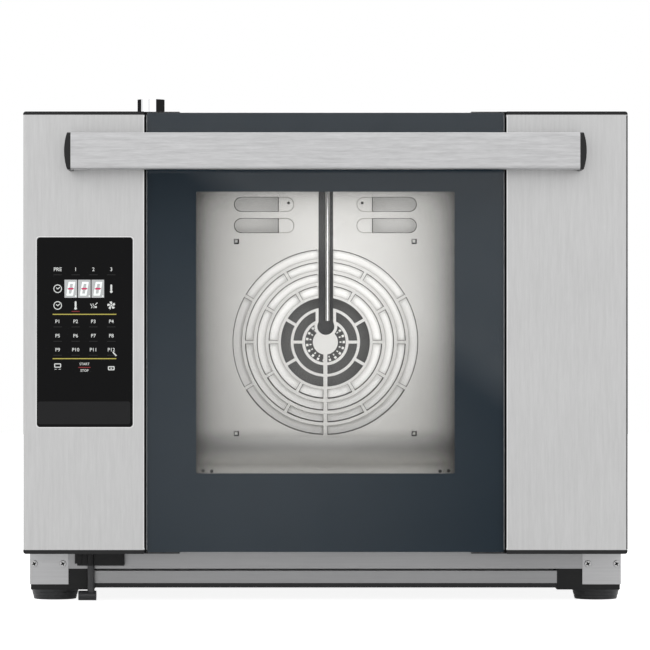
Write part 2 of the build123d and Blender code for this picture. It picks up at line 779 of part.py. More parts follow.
# Fan nut on the shaft's thread
with BuildPart() as fan_nut:
    with BuildSketch(facing(hub_front_y)):
        with Locations((0, fan_z)):
            RegularPolygon(9.5, 6)
            Circle(shaft_radius - 1 + shaft_clearance, mode=Mode.SUBTRACT)
    extrude(amount=8)
save(fan_nut, "fan_nut")

# Chamber probe: a temperature sensor through the rear wall, with its nuts
with BuildPart() as chamber_probe:
    x, z = probe
    rod((x, 150, z), (x, slab_back_y + 20, z), 3.0)
    rod((x, slab_back_y, z), (x, slab_back_y + 6, z), 7.5)
    rod((x, liner_back_y - 4, z), (x, liner_back_y, z), 7.5)
save(chamber_probe, "chamber_probe")

# Chimney: a tube that stands on the liner's roof and runs out through the top panel
with BuildPart() as chimney_tube:
    rod((chimney_x, chimney_y, chamber_roof), (chimney_x, chimney_y, height), chimney_radius)
    rod((chimney_x, chimney_y, chamber_roof + liner_sheet),
        (chimney_x, chimney_y, chamber_roof + liner_sheet + 1.5), chimney_flange)
    rod((chimney_x, chimney_y, chamber_roof - 1), (chimney_x, chimney_y, height + 1), chimney_bore,
        mode=Mode.SUBTRACT)
save(chimney_tube, "chimney_tube")

# Chimney collar: a stepped ring round the tube on the top panel
with BuildPart() as chimney_collar:
    rod((chimney_x, chimney_y, roof_level), (chimney_x, chimney_y, roof_level + 1.5),
        collar_radii[0])
    rod((chimney_x, chimney_y, roof_level + 1.5), (chimney_x, chimney_y, roof_level + 6),
        collar_radii[1])
    rod((chimney_x, chimney_y, roof_level - 1), (chimney_x, chimney_y, roof_level + 7),
        chimney_radius + 0.05, mode=Mode.SUBTRACT)
save(chimney_collar, "chimney_collar")

# Drain fitting: an inlet, an elbow and a tail that ends in a hose spigot at the rear
drain_bend = 20.0
with BuildPart() as drain_fitting:
    with BuildLine() as drain_route:
        FilletPolyline(
            (0, drain_y, chamber_floor - liner_sheet),
            (0, drain_y, drain_level),
            (0, rear_fitting_y, drain_level),
            radius=drain_bend,
        )
    start = Plane(origin=drain_route.line @ 0, z_dir=drain_route.line % 0)
    with BuildSketch(start) as tube:
        Circle(drain_radius)
    sweep(tube.sketch, path=drain_route.line)
    rod((0, drain_y, chamber_floor - liner_sheet), (0, drain_y, chamber_floor - 4.2), 16)
    rod((0, rear_face_y, drain_level), (0, rear_face_y + 2, drain_level), 15)
    rod((0, rear_face_y + 2, drain_level), (0, rear_fitting_y, drain_level), spigot_radius)
    with BuildSketch(start) as bore:
        Circle(drain_bore)
    sweep(bore.sketch, path=drain_route.line, mode=Mode.SUBTRACT)
    for seam in (Plane.XY.offset(drain_level + drain_bend), facing(drain_y + drain_bend)):
        split(bisect_by=seam, keep=Keep.BOTH)
save(drain_fitting, "drain_fitting")

# Water inlet valve: body and coil, a neck through the rear panel and a threaded inlet
inlet_end_y = 331.0
inlet_bottom_y = inlet_end_y - 13.0
valve_body_y = (225.0, 272.0)
valve_coil_y = (230.0, 264.0)
with BuildPart() as water_inlet_valve:
    block((valve_x - 20, valve_x + 20), valve_body_y, (valve_z - 16, valve_top))
    block((valve_x - 17, valve_x + 17), valve_coil_y, (valve_z - 50, valve_z - 16))
    rod((valve_x, valve_body_y[1], valve_z), (valve_x, inlet_end_y, valve_z), inlet_radius)
    rod((valve_x, rear_sheet_y - 4, valve_z), (valve_x, rear_sheet_y, valve_z), 18)
    rod((valve_x, rear_face_y, valve_z), (valve_x, rear_face_y + 4, valve_z), 17)
    rod((valve_x, inlet_bottom_y, valve_z), (valve_x, inlet_end_y, valve_z), 9,
        mode=Mode.SUBTRACT)
    for y in (valve_body_y[1], inlet_bottom_y):
        split(bisect_by=facing(y), keep=Keep.BOTH)
save(water_inlet_valve, "water_inlet_valve")

# Cable gland: hexagon, dome nut, thread and lock nut round the cord's bore
with BuildPart() as cable_gland:
    with BuildSketch(facing(rear_face_y + 5)):
        with Locations((gland_x, gland_z)):
            RegularPolygon(13.5, 6)
    extrude(amount=5)
    with BuildSketch(facing(rear_sheet_y)):
        with Locations((gland_x, gland_z)):
            RegularPolygon(14, 6)
    extrude(amount=4)
    rod((gland_x, rear_sheet_y - 7, gland_z), (gland_x, rear_face_y, gland_z), gland_thread)
    rod((gland_x, rear_face_y + 5, gland_z), (gland_x, rear_face_y + 16, gland_z), 11)
    dome = cable_gland.faces().sort_by(Axis.Y)[-1].edges()
    fillet(dome, radius=3.5)
    rod((gland_x, rear_sheet_y - 8, gland_z), (gland_x, rear_face_y + 18, gland_z), gland_bore,
        mode=Mode.SUBTRACT)
save(cable_gland, "cable_gland")

# Earth stud, with a nut on each side of the rear panel
with BuildPart() as earth_stud:
    rod((stud_x, rear_sheet_y - 8, gland_z), (stud_x, rear_face_y + 15, gland_z), stud_radius)
    for y in (rear_sheet_y, rear_face_y + 4):
        with BuildSketch(facing(y)) as nut:
            with Locations((stud_x, gland_z)):
                RegularPolygon(5.8, 6)
        extrude(nut.sketch, amount=4)
save(earth_stud, "earth_stud")

# Cooling fan for the electronics, on the rear panel
fan_frame_half = 40.0
fan_frame_depth = 25.0
fan_frame_y = rear_sheet_y - fan_frame_depth
rotor_radius = 36.0
spindle_radius = 2.0
with BuildPart() as cooling_fan_frame:
    with BuildSketch(facing(rear_sheet_y)):
        with Locations((cooling_x, cooling_z)):
            RectangleRounded(2 * fan_frame_half, 2 * fan_frame_half, 5)
            Circle(rotor_radius + 1.5, mode=Mode.SUBTRACT)
    extrude(amount=fan_frame_depth)
    rod((cooling_x, rear_sheet_y - 5, cooling_z), (cooling_x, rear_sheet_y, cooling_z), 14)
    with BuildSketch(facing(rear_sheet_y)) as struts:
        with Locations((cooling_x, cooling_z)):
            with PolarLocations(25, 4, start_angle=45):
                Rectangle(28, 4)
    extrude(struts.sketch, amount=4)
    rod((cooling_x, rear_sheet_y - 6, cooling_z), (cooling_x, rear_sheet_y - 1, cooling_z),
        spindle_radius + shaft_clearance, mode=Mode.SUBTRACT)
save(cooling_fan_frame, "cooling_fan_frame")

rotor_back_y = rear_sheet_y - 6.5
rotor_depth = 16.0
with BuildPart() as cooling_fan_rotor:
    rod((cooling_x, rotor_back_y - rotor_depth, cooling_z), (cooling_x, rotor_back_y, cooling_z), 14)
    rod((cooling_x, rotor_back_y, cooling_z), (cooling_x, rear_sheet_y - 1.6, cooling_z),
        spindle_radius)
    for index in range(7):
        angle = 360 / 7 * index
        turn = radians(angle)
        middle = (cooling_x + 24 * cos(turn), rotor_back_y - rotor_depth / 2, cooling_z + 24 * sin(turn))
        with Locations(Location(middle, (0, -angle, 0))):
            with Locations(Location((0, 0, 0), (35, 0, 0))):
                Box(22, 17, 1.4)
save(cooling_fan_rotor, "cooling_fan_rotor")

# Power board on the rear panel, with relays, capacitors and a heat sink
board_x = (130.0, 250.0)
board_z = (300.0, 420.0)
board_y = 303.0
sink_z = 352.0
with BuildPart() as power_board:
    block(board_x, (board_y, board_y + 1.6), board_z)
    for x in (board_x[0] + 6, board_x[1] - 6):
        for z in (board_z[0] + 6, board_z[1] - 6):
            rod((x, board_y + 1.6, z), (x, rear_sheet_y, z), 3)
    for column in range(4):
        relay_x = board_x[0] + 14 + 26 * column
        block((relay_x, relay_x + 20), (board_y - 16, board_y), (board_z[0] + 12, board_z[0] + 28))
    for column in range(3):
        can_x = board_x[0] + 24 + 24 * column
        rod((can_x, board_y - 24, board_z[1] - 34), (can_x, board_y, board_z[1] - 34), 8)
    block((board_x[0] + 20, board_x[1] - 20), (board_y - 20, board_y), (sink_z, sink_z + 4))
save(power_board, "power_board")

# Terminal block for the mains wires
terminal_x = (140.0, 200.0)
terminal_z = (112.0, 134.0)
terminal_face_y = rear_sheet_y - 22.0
well_depth = 10.0
with BuildPart() as terminal_block:
    block(terminal_x, (terminal_face_y, rear_sheet_y), terminal_z)
    for column in range(5):
        well_x = terminal_x[0] + 6 + 12 * column
        for well_z, radius in ((terminal_z[1] - 6, 3), (terminal_z[0] + 6, 2.4)):
            rod((well_x, terminal_face_y, well_z), (well_x, terminal_face_y + well_depth, well_z),
                radius, mode=Mode.SUBTRACT)
save(terminal_block, "terminal_block")

# Safety thermostat, fixed inside the rear panel
thermostat_x = 70.0
thermostat_z = 440.0
with BuildPart() as safety_thermostat:
    for start, end, radius in ((14, 0, 16), (22, 14, 11)):
        rod((thermostat_x, rear_sheet_y - start, thermostat_z),
            (thermostat_x, rear_sheet_y - end, thermostat_z), radius)
    for x in (thermostat_x - 6, thermostat_x + 6):
        block((x - 3, x + 3), (rear_sheet_y - 31, rear_sheet_y - 22),
              (thermostat_z - 0.5, thermostat_z + 0.5))
save(safety_thermostat, "safety_thermostat")

# Hinge brackets: a plate on the front rail with two ears, one bracket a side
ear_x = (hinge_x - ear_gap / 2 - ear_sheet, hinge_x + ear_gap / 2)
bracket_levels = (50.0, 82.0)
with BuildPart() as hinge_brackets:
    for side in sides.values():
        block((side * (hinge_x - 15), side * (hinge_x + 15)), (rail_face_y - 3, rail_face_y),
              bracket_levels)
        hole_back(side * hinge_x, bracket_screw_level, rail_face_y, screw_hole)
        for x in ear_x:
            block((side * x, side * (x + ear_sheet)), (hinge_y, rail_face_y - 3),
                  (hinge_z - hinge_eye_radius, hinge_z + hinge_eye_radius))
            rod((side * x, hinge_y, hinge_z), (side * (x + ear_sheet), hinge_y, hinge_z),
                hinge_eye_radius)
        rod((side * (hinge_x - 12), hinge_y, hinge_z), (side * (hinge_x + 12), hinge_y, hinge_z),
            hinge_pin_radius + shaft_clearance, mode=Mode.SUBTRACT)
save(hinge_brackets, "hinge_brackets")

# Hinge pins, with a head at one end and a clip at the other
pin_head = 2.0
pin_head_radius = 6.0
pin_inner = ear_x[0]
pin_outer = ear_x[1] + ear_sheet
with BuildPart() as hinge_pins:
    for side in sides.values():
        for low, high, radius in (
            (pin_inner - pin_head, pin_outer + pin_head, hinge_pin_radius),
            (pin_inner - pin_head, pin_inner, pin_head_radius),
            (pin_outer, pin_outer + pin_head, pin_head_radius),
        ):
            rod((side * low, hinge_y, hinge_z), (side * high, hinge_y, hinge_z), radius)
save(hinge_pins, "hinge_pins")

# Drip block and its pipe, under the left of the door
drip_x = (-253.0, -203.0)
drip_y = (rail_face_y - 12.0, rail_face_y)
drip_z = (35.6, 48.0)
drip_step = (4.6, 2.0)
drip_pipe_x = -236.8
drip_pipe_radius = 3.6
drip_elbow_x = (-249.5, -231.5)
drip_elbow_z = 5.3
drip_elbow_radius = 4.9
drip_pipe_y = rail_face_y - 6.2
with BuildPart() as drip_block:
    block(drip_x, drip_y, drip_z)
    fillet(drip_block.edges().filter_by(Axis.Z).group_by(Axis.Y)[0], radius=2.5)
    block((drip_x[0], drip_x[0] + drip_step[0]), drip_y, (drip_z[0], drip_z[0] + drip_step[1]),
          mode=Mode.SUBTRACT)
    rod((drip_pipe_x, drip_pipe_y, drip_z[0]), (drip_pipe_x, drip_pipe_y, drip_z[1]),
        drip_pipe_radius - 1, mode=Mode.SUBTRACT)
save(drip_block, "drip_block")

with BuildPart() as drip_pipe:
    elbow_end = (drip_elbow_x[0], drip_pipe_y, drip_elbow_z)
    rod((drip_pipe_x, drip_pipe_y, drip_z[0]), (drip_pipe_x, drip_pipe_y, drip_elbow_z),
        drip_pipe_radius)
    rod(elbow_end, (drip_elbow_x[1], drip_pipe_y, drip_elbow_z), drip_elbow_radius)
    rod((drip_pipe_x, drip_pipe_y, drip_z[0]), (drip_pipe_x, drip_pipe_y, drip_elbow_z),
        drip_pipe_radius - 1, mode=Mode.SUBTRACT)
    rod(elbow_end, (drip_pipe_x, drip_pipe_y, drip_elbow_z), drip_pipe_radius - 1,
        mode=Mode.SUBTRACT)
save(drip_pipe, "drip_pipe")

# Casing screws: domed cross-head screws for the casing, the corner plates and the hinge brackets
front_places = [(side * x, rail_face_y - 1.2, screw_level)
                for side in sides.values() for x in corner_screws]
front_places += [(side * hinge_x, rail_face_y - 3, bracket_screw_level) for side in sides.values()]
screw_places = [Location(place, (90, 0, 0)) for place in front_places]
screw_places += [Location((x, rear_face_y, z), (-90, 0, 0)) for x, z in rear_screws]
screw_places += [Location((x, y, roof_level)) for x, y in top_screws]
head_height = 1.8
shank_length = 6.0
cross_size = (4.8, 1.2)
cross_turn = 30.0
cross_depth = 1.5
with BuildPart() as casing_screws:
    for place in screw_places:
        with BuildSketch(Plane(place)) as head:
            Circle(screw_head)
        extrude(head.sketch, amount=head_height, taper=18)
        with BuildSketch(Plane(place)) as shank:
            Circle(screw_shank)
        extrude(shank.sketch, amount=-shank_length)
        with BuildSketch(Plane(place).offset(head_height)) as cross:
            Rectangle(*cross_size, rotation=cross_turn)
            Rectangle(*cross_size, rotation=cross_turn + 90)
        extrude(cross.sketch, amount=-cross_depth, mode=Mode.SUBTRACT)
save(casing_screws, "casing_screws")

# Door frame: a folded tray behind the panes, open to the front at the sides
seat_half = panel_inner - 0.5
pocket_half = frame_half - frame_wall
pocket_levels = (frame_levels[0] + frame_wall, frame_levels[1] - frame_wall)
with BuildPart() as door_frame:
    block((-frame_half, frame_half), (in_door(panel_sheet), in_door(frame_back)), frame_levels)
    block((-seat_half, seat_half), (in_door(0), in_door(pane_seat)), (0, height),
          mode=Mode.SUBTRACT)
    block((-window_half, window_half), (in_door(0), in_door(door_thickness)), window_levels,
          mode=Mode.SUBTRACT)
    pocket_back = in_door(frame_back - frame_wall)
    for side in sides.values():
        block((side * seat_half, side * pocket_half), (in_door(0), pocket_back), pocket_levels,
              mode=Mode.SUBTRACT)
        block((side * (window_half + frame_wall), side * seat_half),
              (in_door(pane_seat + frame_wall), pocket_back), pocket_levels, mode=Mode.SUBTRACT)
        block((side * (hinge_x - notch_half), side * (hinge_x + notch_half)),
              (in_door(notch_front), in_door(door_thickness)), (0, notch_top), mode=Mode.SUBTRACT)
    for low, high in ((pocket_levels[0], window_levels[0] - frame_wall),
                      (window_levels[1] + frame_wall, pocket_levels[1])):
        block((-window_half, window_half), (in_door(pane_seat + frame_wall), pocket_back),
              (low, high), mode=Mode.SUBTRACT)
save(door_frame, "door_frame")

# Outer pane, the full height of the door
with BuildPart() as outer_glass:
    block((-pane_half, pane_half), (in_door(pane_front), in_door(pane_seat)), pane_levels)
    fillet(outer_glass.edges().filter_by(Axis.Y), radius=1.5)
    chamfer(outer_glass.faces().sort_by(Axis.Y)[0].edges(), length=0.4)
save(outer_glass, "outer_glass")

# Inner pane on the back of the frame, and its clips
with BuildPart() as inner_glass:
    block((-inner_pane_half, inner_pane_half), (in_door(frame_back), door_back_y),
          inner_pane_levels)
    fillet(inner_glass.edges().filter_by(Axis.Y), radius=8)
save(inner_glass, "inner_glass")

clip_levels = (160.0, 417.0)
with BuildPart() as inner_glass_clips:
    for side in sides.values():
        for z in clip_levels:
            block((side * (inner_pane_half + 0.3), side * (inner_pane_half + 13)),
                  (in_door(frame_back), door_back_y + 1), (z - 7, z + 7))
            block((side * (inner_pane_half - 3.4), side * (inner_pane_half + 0.3)),
                  (door_back_y, door_back_y + 1), (z - 7, z + 7))
            rod((side * (inner_pane_half + 7), door_back_y + 1, z),
                (side * (inner_pane_half + 7), door_back_y + 2.4, z), 3)
save(inner_glass_clips, "inner_glass_clips")

# Steel door panels, folded back at both edges, with the control panel's cut-out in the left one
fold_radius = 2.2
edge_radius = 1.0
for name, side in sides.items():
    with BuildPart() as door_panel:
        block((side * panel_inner, side * half_width), (door_face_y, in_door(cap_back)),
              frame_levels)
        upright = door_panel.edges().filter_by(Axis.Z).group_by(Axis.Y)[0].sort_by(Axis.X)
        fillet(upright[-1 if side > 0 else 0], radius=fold_radius)
        fillet(upright[0 if side > 0 else -1], radius=edge_radius)
        block((side * panel_inner, side * (half_width - panel_sheet)),
              (in_door(panel_sheet), in_door(cap_back)), frame_levels, mode=Mode.SUBTRACT)
        block((side * panel_inner, side * (panel_inner + panel_sheet)),
              (in_door(panel_sheet), in_door(10)), (pocket_levels[0] + 0.2, pocket_levels[1] - 0.2))
        if name == "left":
            with BuildSketch(facing(in_door(panel_sheet + 1))) as cut_out:
                with Locations((panel_x, panel_z)):
                    RectangleRounded(panel_size[0] + 0.6, panel_size[1] + 0.6, panel_corner + 0.3)
            extrude(cut_out.sketch, amount=panel_sheet + 2, mode=Mode.SUBTRACT)
    save(door_panel, f"door_panel_{name}")

# End caps along the door's top and bottom edges, with notches for the hinges
cap_corner = 2.6
with BuildPart() as door_top_caps:
    for side in sides.values():
        block((side * (panel_inner + 0.2), side * half_width), (door_face_y, in_door(cap_back)),
              (frame_levels[1], door_top))
        block((side * cap_inner, side * (panel_inner + 0.2)),
              (in_door(pane_seat + 0.4), in_door(cap_back)), (frame_levels[1], door_top))
    cap_rims = door_top_caps.edges().filter_by(Axis.Y).group_by(Axis.Z)[-1].sort_by(Axis.X)
    fillet([cap_rims[0], cap_rims[-1]], radius=cap_corner)
save(door_top_caps, "door_top_caps")

with BuildPart() as door_bottom_caps:
    for side in sides.values():
        block((side * (panel_inner + 0.2), side * half_width), (door_face_y, in_door(cap_back)),
              (door_bottom, frame_levels[0]))
        block((side * cap_inner, side * (panel_inner + 0.2)),
              (in_door(pane_seat + 0.4), in_door(cap_back)), (door_bottom, frame_levels[0]))
        block((side * (hinge_x - notch_half), side * (hinge_x + notch_half)),
              (in_door(notch_front), in_door(door_thickness)), (0, notch_top), mode=Mode.SUBTRACT)
    cap_rims = door_bottom_caps.edges().filter_by(Axis.Y).group_by(Axis.Z)[0].sort_by(Axis.X)
    fillet([cap_rims[0], cap_rims[-1]], radius=cap_corner)
save(door_bottom_caps, "door_bottom_caps")

# Handle bar: a flattened tube between two brackets
bar_z = (bar_levels[0] + bar_levels[1]) / 2
bar_height = bar_levels[1] - bar_levels[0]
bar_y = handle_face_y + bar_depth / 2
with BuildPart() as handle_bar:
    with BuildSketch(Plane.YZ):
        with Locations((bar_y, bar_z)):
            RectangleRounded(bar_depth, bar_height, 3.5)
            RectangleRounded(bar_depth - 2 * bar_wall, bar_height - 2 * bar_wall, 2,
                             mode=Mode.SUBTRACT)
    extrude(amount=bar_half, both=True)
save(handle_bar, "handle_bar")

# Handle brackets: a plate with a bulged outer face, a foot on the door and a plug in the bar
for name, side in sides.items():
    with BuildPart() as handle_bracket:
        plate_x = bar_half + bracket_plate
        block((side * bar_half, side * plate_x), (handle_face_y, door_face_y), bar_levels)
        with BuildSketch(facing(door_face_y)) as bulge:
            with BuildLine():
                Line((side * plate_x, bar_levels[0]), (side * plate_x, bar_levels[1]))
                ThreePointArc(
                    (side * plate_x, bar_levels[1]),
                    (side * (plate_x + bracket_bulge), bar_z),
                    (side * plate_x, bar_levels[0]),
                )
            make_face()
        extrude(bulge.sketch, amount=handle_reach)
        fillet(handle_bracket.edges().filter_by(Axis.X).group_by(Axis.Y)[0], radius=3)
        block((side * (bar_half - 15), side * bar_half), (door_face_y - 4, door_face_y),
              (bar_levels[0] + 4, bar_levels[1] - 4))
        with BuildSketch(Plane.YZ.offset(side * bar_half)) as plug:
            with Locations((bar_y, bar_z)):
                RectangleRounded(bar_depth - 2 * bar_wall - 0.3, bar_height - 2 * bar_wall - 0.3, 1.8)
        extrude(plug.sketch, amount=-side * 8)
    save(handle_bracket, f"handle_bracket_{name}")

# Control panel: glass, display module and circuit board
glass_back = glass_sheet - panel_proud
with BuildPart() as control_glass:
    with BuildSketch(facing(in_door(glass_back))):
        with Locations((panel_x, panel_z)):
            RectangleRounded(*panel_size, panel_corner)
    extrude(amount=glass_sheet)
    chamfer(control_glass.faces().sort_by(Axis.Y)[0].edges(), length=0.3)
save(control_glass, "control_glass")

board_front = 9.0
with BuildPart() as display_module:
    block(display_x, (in_door(glass_back), in_door(board_front)), display_z)
save(display_module, "display_module")

board_half = (panel_size[0] / 2 - 3, panel_size[1] / 2 - 5)
with BuildPart() as control_board:
    block((panel_x - board_half[0], panel_x + board_half[0]),
          (in_door(board_front), in_door(board_front + 1.6)),
          (panel_z - board_half[1], panel_z + board_half[1]))
    with Locations((panel_x, in_door(glass_back), panel_z)):
        with Locations(Location((0, 0, 0), (-90, 0, 0))):
            with GridLocations(2 * board_half[0] - 10, 2 * board_half[1] - 10, 2, 2):
                Cylinder(3, board_front - glass_back,
                         align=(Align.CENTER, Align.CENTER, Align.MIN))
    block((panel_x - 18, panel_x - 2), (in_door(board_front + 1.6), in_door(22)),
          (panel_z - 70, panel_z - 40))
    block((panel_x + 6, panel_x + 22), (in_door(board_front + 1.6), in_door(14)),
          (panel_z - 20, panel_z - 4))
save(control_board, "control_board")

# Hinge arms: an eye on each pin and a foot inside the bottom of the door frame
foot_front = 6.0
foot_back = 21.0
with BuildPart() as hinge_arms:
    for side in sides.values():
        arm_x = (side * (hinge_x - arm_sheet / 2), side * (hinge_x + arm_sheet / 2))
        rod((arm_x[0], hinge_y, hinge_z), (arm_x[1], hinge_y, hinge_z), hinge_eye_radius)
        block(arm_x, (in_door(foot_front), hinge_y), (pocket_levels[0] + 3, hinge_z + hinge_eye_radius))
        block((side * (hinge_x - 13), side * (hinge_x + 13)),
              (in_door(foot_front), in_door(foot_back)), (pocket_levels[0], pocket_levels[0] + 3))
        rod((arm_x[0], hinge_y, hinge_z), (arm_x[1], hinge_y, hinge_z),
            hinge_pin_radius + shaft_clearance, mode=Mode.SUBTRACT)
save(hinge_arms, "hinge_arms")

# Light bars on both sides of the window, between the panes
with BuildPart() as light_bars:
    for side in sides.values():
        block((side * (window_half - 9), side * window_half), (in_door(20), in_door(44)),
              (130, 430))
        block((side * (window_half - 10.5), side * (window_half - 9)), (in_door(24), in_door(40)),
              (134, 426))
save(light_bars, "light_bars")
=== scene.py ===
import json
import math

import bmesh
import bpy
from mathutils import Matrix, Vector


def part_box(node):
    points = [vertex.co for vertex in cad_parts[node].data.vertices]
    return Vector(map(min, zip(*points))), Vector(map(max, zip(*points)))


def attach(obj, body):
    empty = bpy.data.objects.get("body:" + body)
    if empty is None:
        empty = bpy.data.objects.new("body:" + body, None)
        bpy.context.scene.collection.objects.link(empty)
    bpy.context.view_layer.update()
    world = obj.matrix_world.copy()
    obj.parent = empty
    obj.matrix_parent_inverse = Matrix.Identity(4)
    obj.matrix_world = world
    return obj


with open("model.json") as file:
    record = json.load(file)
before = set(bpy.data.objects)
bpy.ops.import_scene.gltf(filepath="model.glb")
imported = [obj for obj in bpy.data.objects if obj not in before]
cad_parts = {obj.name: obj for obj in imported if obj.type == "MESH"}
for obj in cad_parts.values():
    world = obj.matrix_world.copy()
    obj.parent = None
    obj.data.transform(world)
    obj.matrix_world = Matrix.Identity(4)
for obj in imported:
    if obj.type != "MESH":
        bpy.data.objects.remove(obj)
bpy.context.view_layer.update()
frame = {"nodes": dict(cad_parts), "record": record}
nodes = frame["nodes"]
record = frame["record"]
mm = 0.001
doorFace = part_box("door_panel_left")[0].y
print("frame loaded:", len(nodes), "pieces")


# Small tools

def tone(red, green, blue):
    # a colour as it looks on screen, 0 to 255, in linear numbers
    parts = []
    for value in (red, green, blue):
        value /= 255
        parts.append(value / 12.92 if value <= 0.04045 else ((value + 0.055) / 1.055) ** 2.4)
    return (*parts, 1.0)


def addNode(tree, kind, inputs=None, **settings):
    node = tree.nodes.new(kind)
    for key, value in settings.items():
        setattr(node, key, value)
    for key, value in (inputs or {}).items():
        if isinstance(value, bpy.types.NodeSocket):
            tree.links.new(value, node.inputs[key])
        else:
            node.inputs[key].default_value = value
    return node


def addMath(tree, operation, first, second=0.0, third=0.0):
    inputs = {0: first, 1: second, 2: third}
    return addNode(tree, "ShaderNodeMath", inputs, operation=operation).outputs[0]


def startGroup(name, inputs, outputs):
    group = bpy.data.node_groups.new(name, "ShaderNodeTree")
    for label, kind, value in inputs:
        socket = group.interface.new_socket(label, in_out="INPUT", socket_type=kind)
        socket.default_value = value
    for label, kind in outputs:
        group.interface.new_socket(label, in_out="OUTPUT", socket_type=kind)
    return group, group.nodes.new("NodeGroupInput").outputs, group.nodes.new("NodeGroupOutput").inputs


def useGroup(tree, group, **values):
    node = addNode(tree, "ShaderNodeGroup", node_tree=group)
    for label, value in values.items():
        node.inputs[label].default_value = value
    return node.outputs


def startMaterial(name):
    material = bpy.data.materials.new(name)
    material.use_nodes = True
    tree = material.node_tree
    return material, tree, tree.nodes["Principled BSDF"]


def setShader(shader, **values):
    for label, value in values.items():
        shader.inputs[label.replace("_", " ")].default_value = value


# Effects that several materials share

def makeGrainGroup():
    # brushed lines: a fine grain, broader streaks and slow clouds, along the axis with the small scale
    inputs = [
        ("Color", "NodeSocketColor", (0.7, 0.7, 0.7, 1.0)),
        ("Scale", "NodeSocketVector", (1500.0, 1500.0, 40.0)),
        ("Streaks", "NodeSocketFloat", 0.1),
        ("Clouds", "NodeSocketFloat", 0.05),
        ("Roughness", "NodeSocketFloat", 0.35),
        ("Spread", "NodeSocketFloat", 0.1),
    ]
    outputs = [("Color", "NodeSocketColor"), ("Roughness", "NodeSocketFloat"), ("Height", "NodeSocketFloat")]
    group, given, result = startGroup("brushedGrain", inputs, outputs)
    place = addNode(group, "ShaderNodeTexCoord").outputs["Object"]
    fineAt = addNode(group, "ShaderNodeVectorMath", {0: place, 1: given["Scale"]}, operation="MULTIPLY")
    broadAt = addNode(group, "ShaderNodeVectorMath", {0: fineAt.outputs[0], 1: (0.23, 0.23, 0.23)},
                      operation="MULTIPLY")
    fine = addNode(group, "ShaderNodeTexNoise", {"Vector": fineAt.outputs[0], "Scale": 1.0, "Detail": 2.0})
    broad = addNode(group, "ShaderNodeTexNoise", {"Vector": broadAt.outputs[0], "Scale": 1.0, "Detail": 3.0})
    clouds = addNode(group, "ShaderNodeTexNoise", {"Vector": place, "Scale": 11.0, "Detail": 2.0})
    mixed = addMath(group, "MULTIPLY_ADD", broad.outputs[0], 0.6, addMath(group, "MULTIPLY", fine.outputs[0], 0.4))
    streak = addMath(group, "SUBTRACT", mixed, 0.5)
    cloud = addMath(group, "SUBTRACT", clouds.outputs[0], 0.5)
    level = addMath(group, "MULTIPLY_ADD", streak, given["Streaks"], 1.0)
    level = addMath(group, "MULTIPLY_ADD", cloud, given["Clouds"], level)
    colour = addNode(group, "ShaderNodeVectorMath", {0: given["Color"], "Scale": level}, operation="SCALE")
    group.links.new(colour.outputs[0], result["Color"])
    rough = addMath(group, "MULTIPLY_ADD", addMath(group, "ADD", streak, cloud), given["Spread"], given["Roughness"])
    group.links.new(rough, result["Roughness"])
    group.links.new(fine.outputs[0], result["Height"])
    return group


def makeMouldGroup():
    # moulded skin: a fine pebble, and a slow change of shade
    inputs = [
        ("Color", "NodeSocketColor", (0.03, 0.03, 0.03, 1.0)),
        ("Pebble", "NodeSocketFloat", 1800.0),
        ("Shade", "NodeSocketFloat", 0.2),
        ("Roughness", "NodeSocketFloat", 0.5),
        ("Spread", "NodeSocketFloat", 0.15),
    ]
    outputs = [("Color", "NodeSocketColor"), ("Roughness", "NodeSocketFloat"), ("Height", "NodeSocketFloat")]
    group, given, result = startGroup("mouldedSkin", inputs, outputs)
    place = addNode(group, "ShaderNodeTexCoord").outputs["Object"]
    pebble = addNode(group, "ShaderNodeTexNoise", {"Vector": place, "Scale": given["Pebble"], "Detail": 1.0})
    slow = addNode(group, "ShaderNodeTexNoise", {"Vector": place, "Scale": 24.0, "Detail": 3.0})
    shade = addMath(group, "SUBTRACT", slow.outputs[0], 0.5)
    level = addMath(group, "MULTIPLY_ADD", shade, given["Shade"], 1.0)
    colour = addNode(group, "ShaderNodeVectorMath", {0: given["Color"], "Scale": level}, operation="SCALE")
    group.links.new(colour.outputs[0], result["Color"])
    group.links.new(addMath(group, "MULTIPLY_ADD", shade, given["Spread"], given["Roughness"]), result["Roughness"])
    group.links.new(pebble.outputs[0], result["Height"])
    return group


def makeSmudgeGroup():
    # wiped glass: faint hand marks that dull the shine
    inputs = [("Size", "NodeSocketFloat", 14.0), ("Clean", "NodeSocketFloat", 0.03), ("Dull", "NodeSocketFloat", 0.12)]
    outputs = [("Roughness", "NodeSocketFloat"), ("Marks", "NodeSocketFloat")]
    group, given, result = startGroup("handMarks", inputs, outputs)
    place = addNode(group, "ShaderNodeTexCoord").outputs["Object"]
    noise = addNode(group, "ShaderNodeTexNoise",
                    {"Vector": place, "Scale": given["Size"], "Detail": 5.0, "Distortion": 1.2})
    marks = addNode(group, "ShaderNodeMapRange",
                    {"Value": noise.outputs[0], "From Min": 0.52, "From Max": 0.75, "To Min": 0.0, "To Max": 1.0})
    group.links.new(addMath(group, "MULTIPLY_ADD", marks.outputs[0], given["Dull"], given["Clean"]),
                    result["Roughness"])
    group.links.new(marks.outputs[0], result["Marks"])
    return group


grainGroup = makeGrainGroup()
mouldGroup = makeMouldGroup()
smudgeGroup = makeSmudgeGroup()


# Kinds of material

def addBump(tree, shader, height, depth):
    bump = addNode(tree, "ShaderNodeBump", {"Height": height, "Strength": 0.6, "Distance": depth})
    tree.links.new(bump.outputs[0], shader.inputs["Normal"])


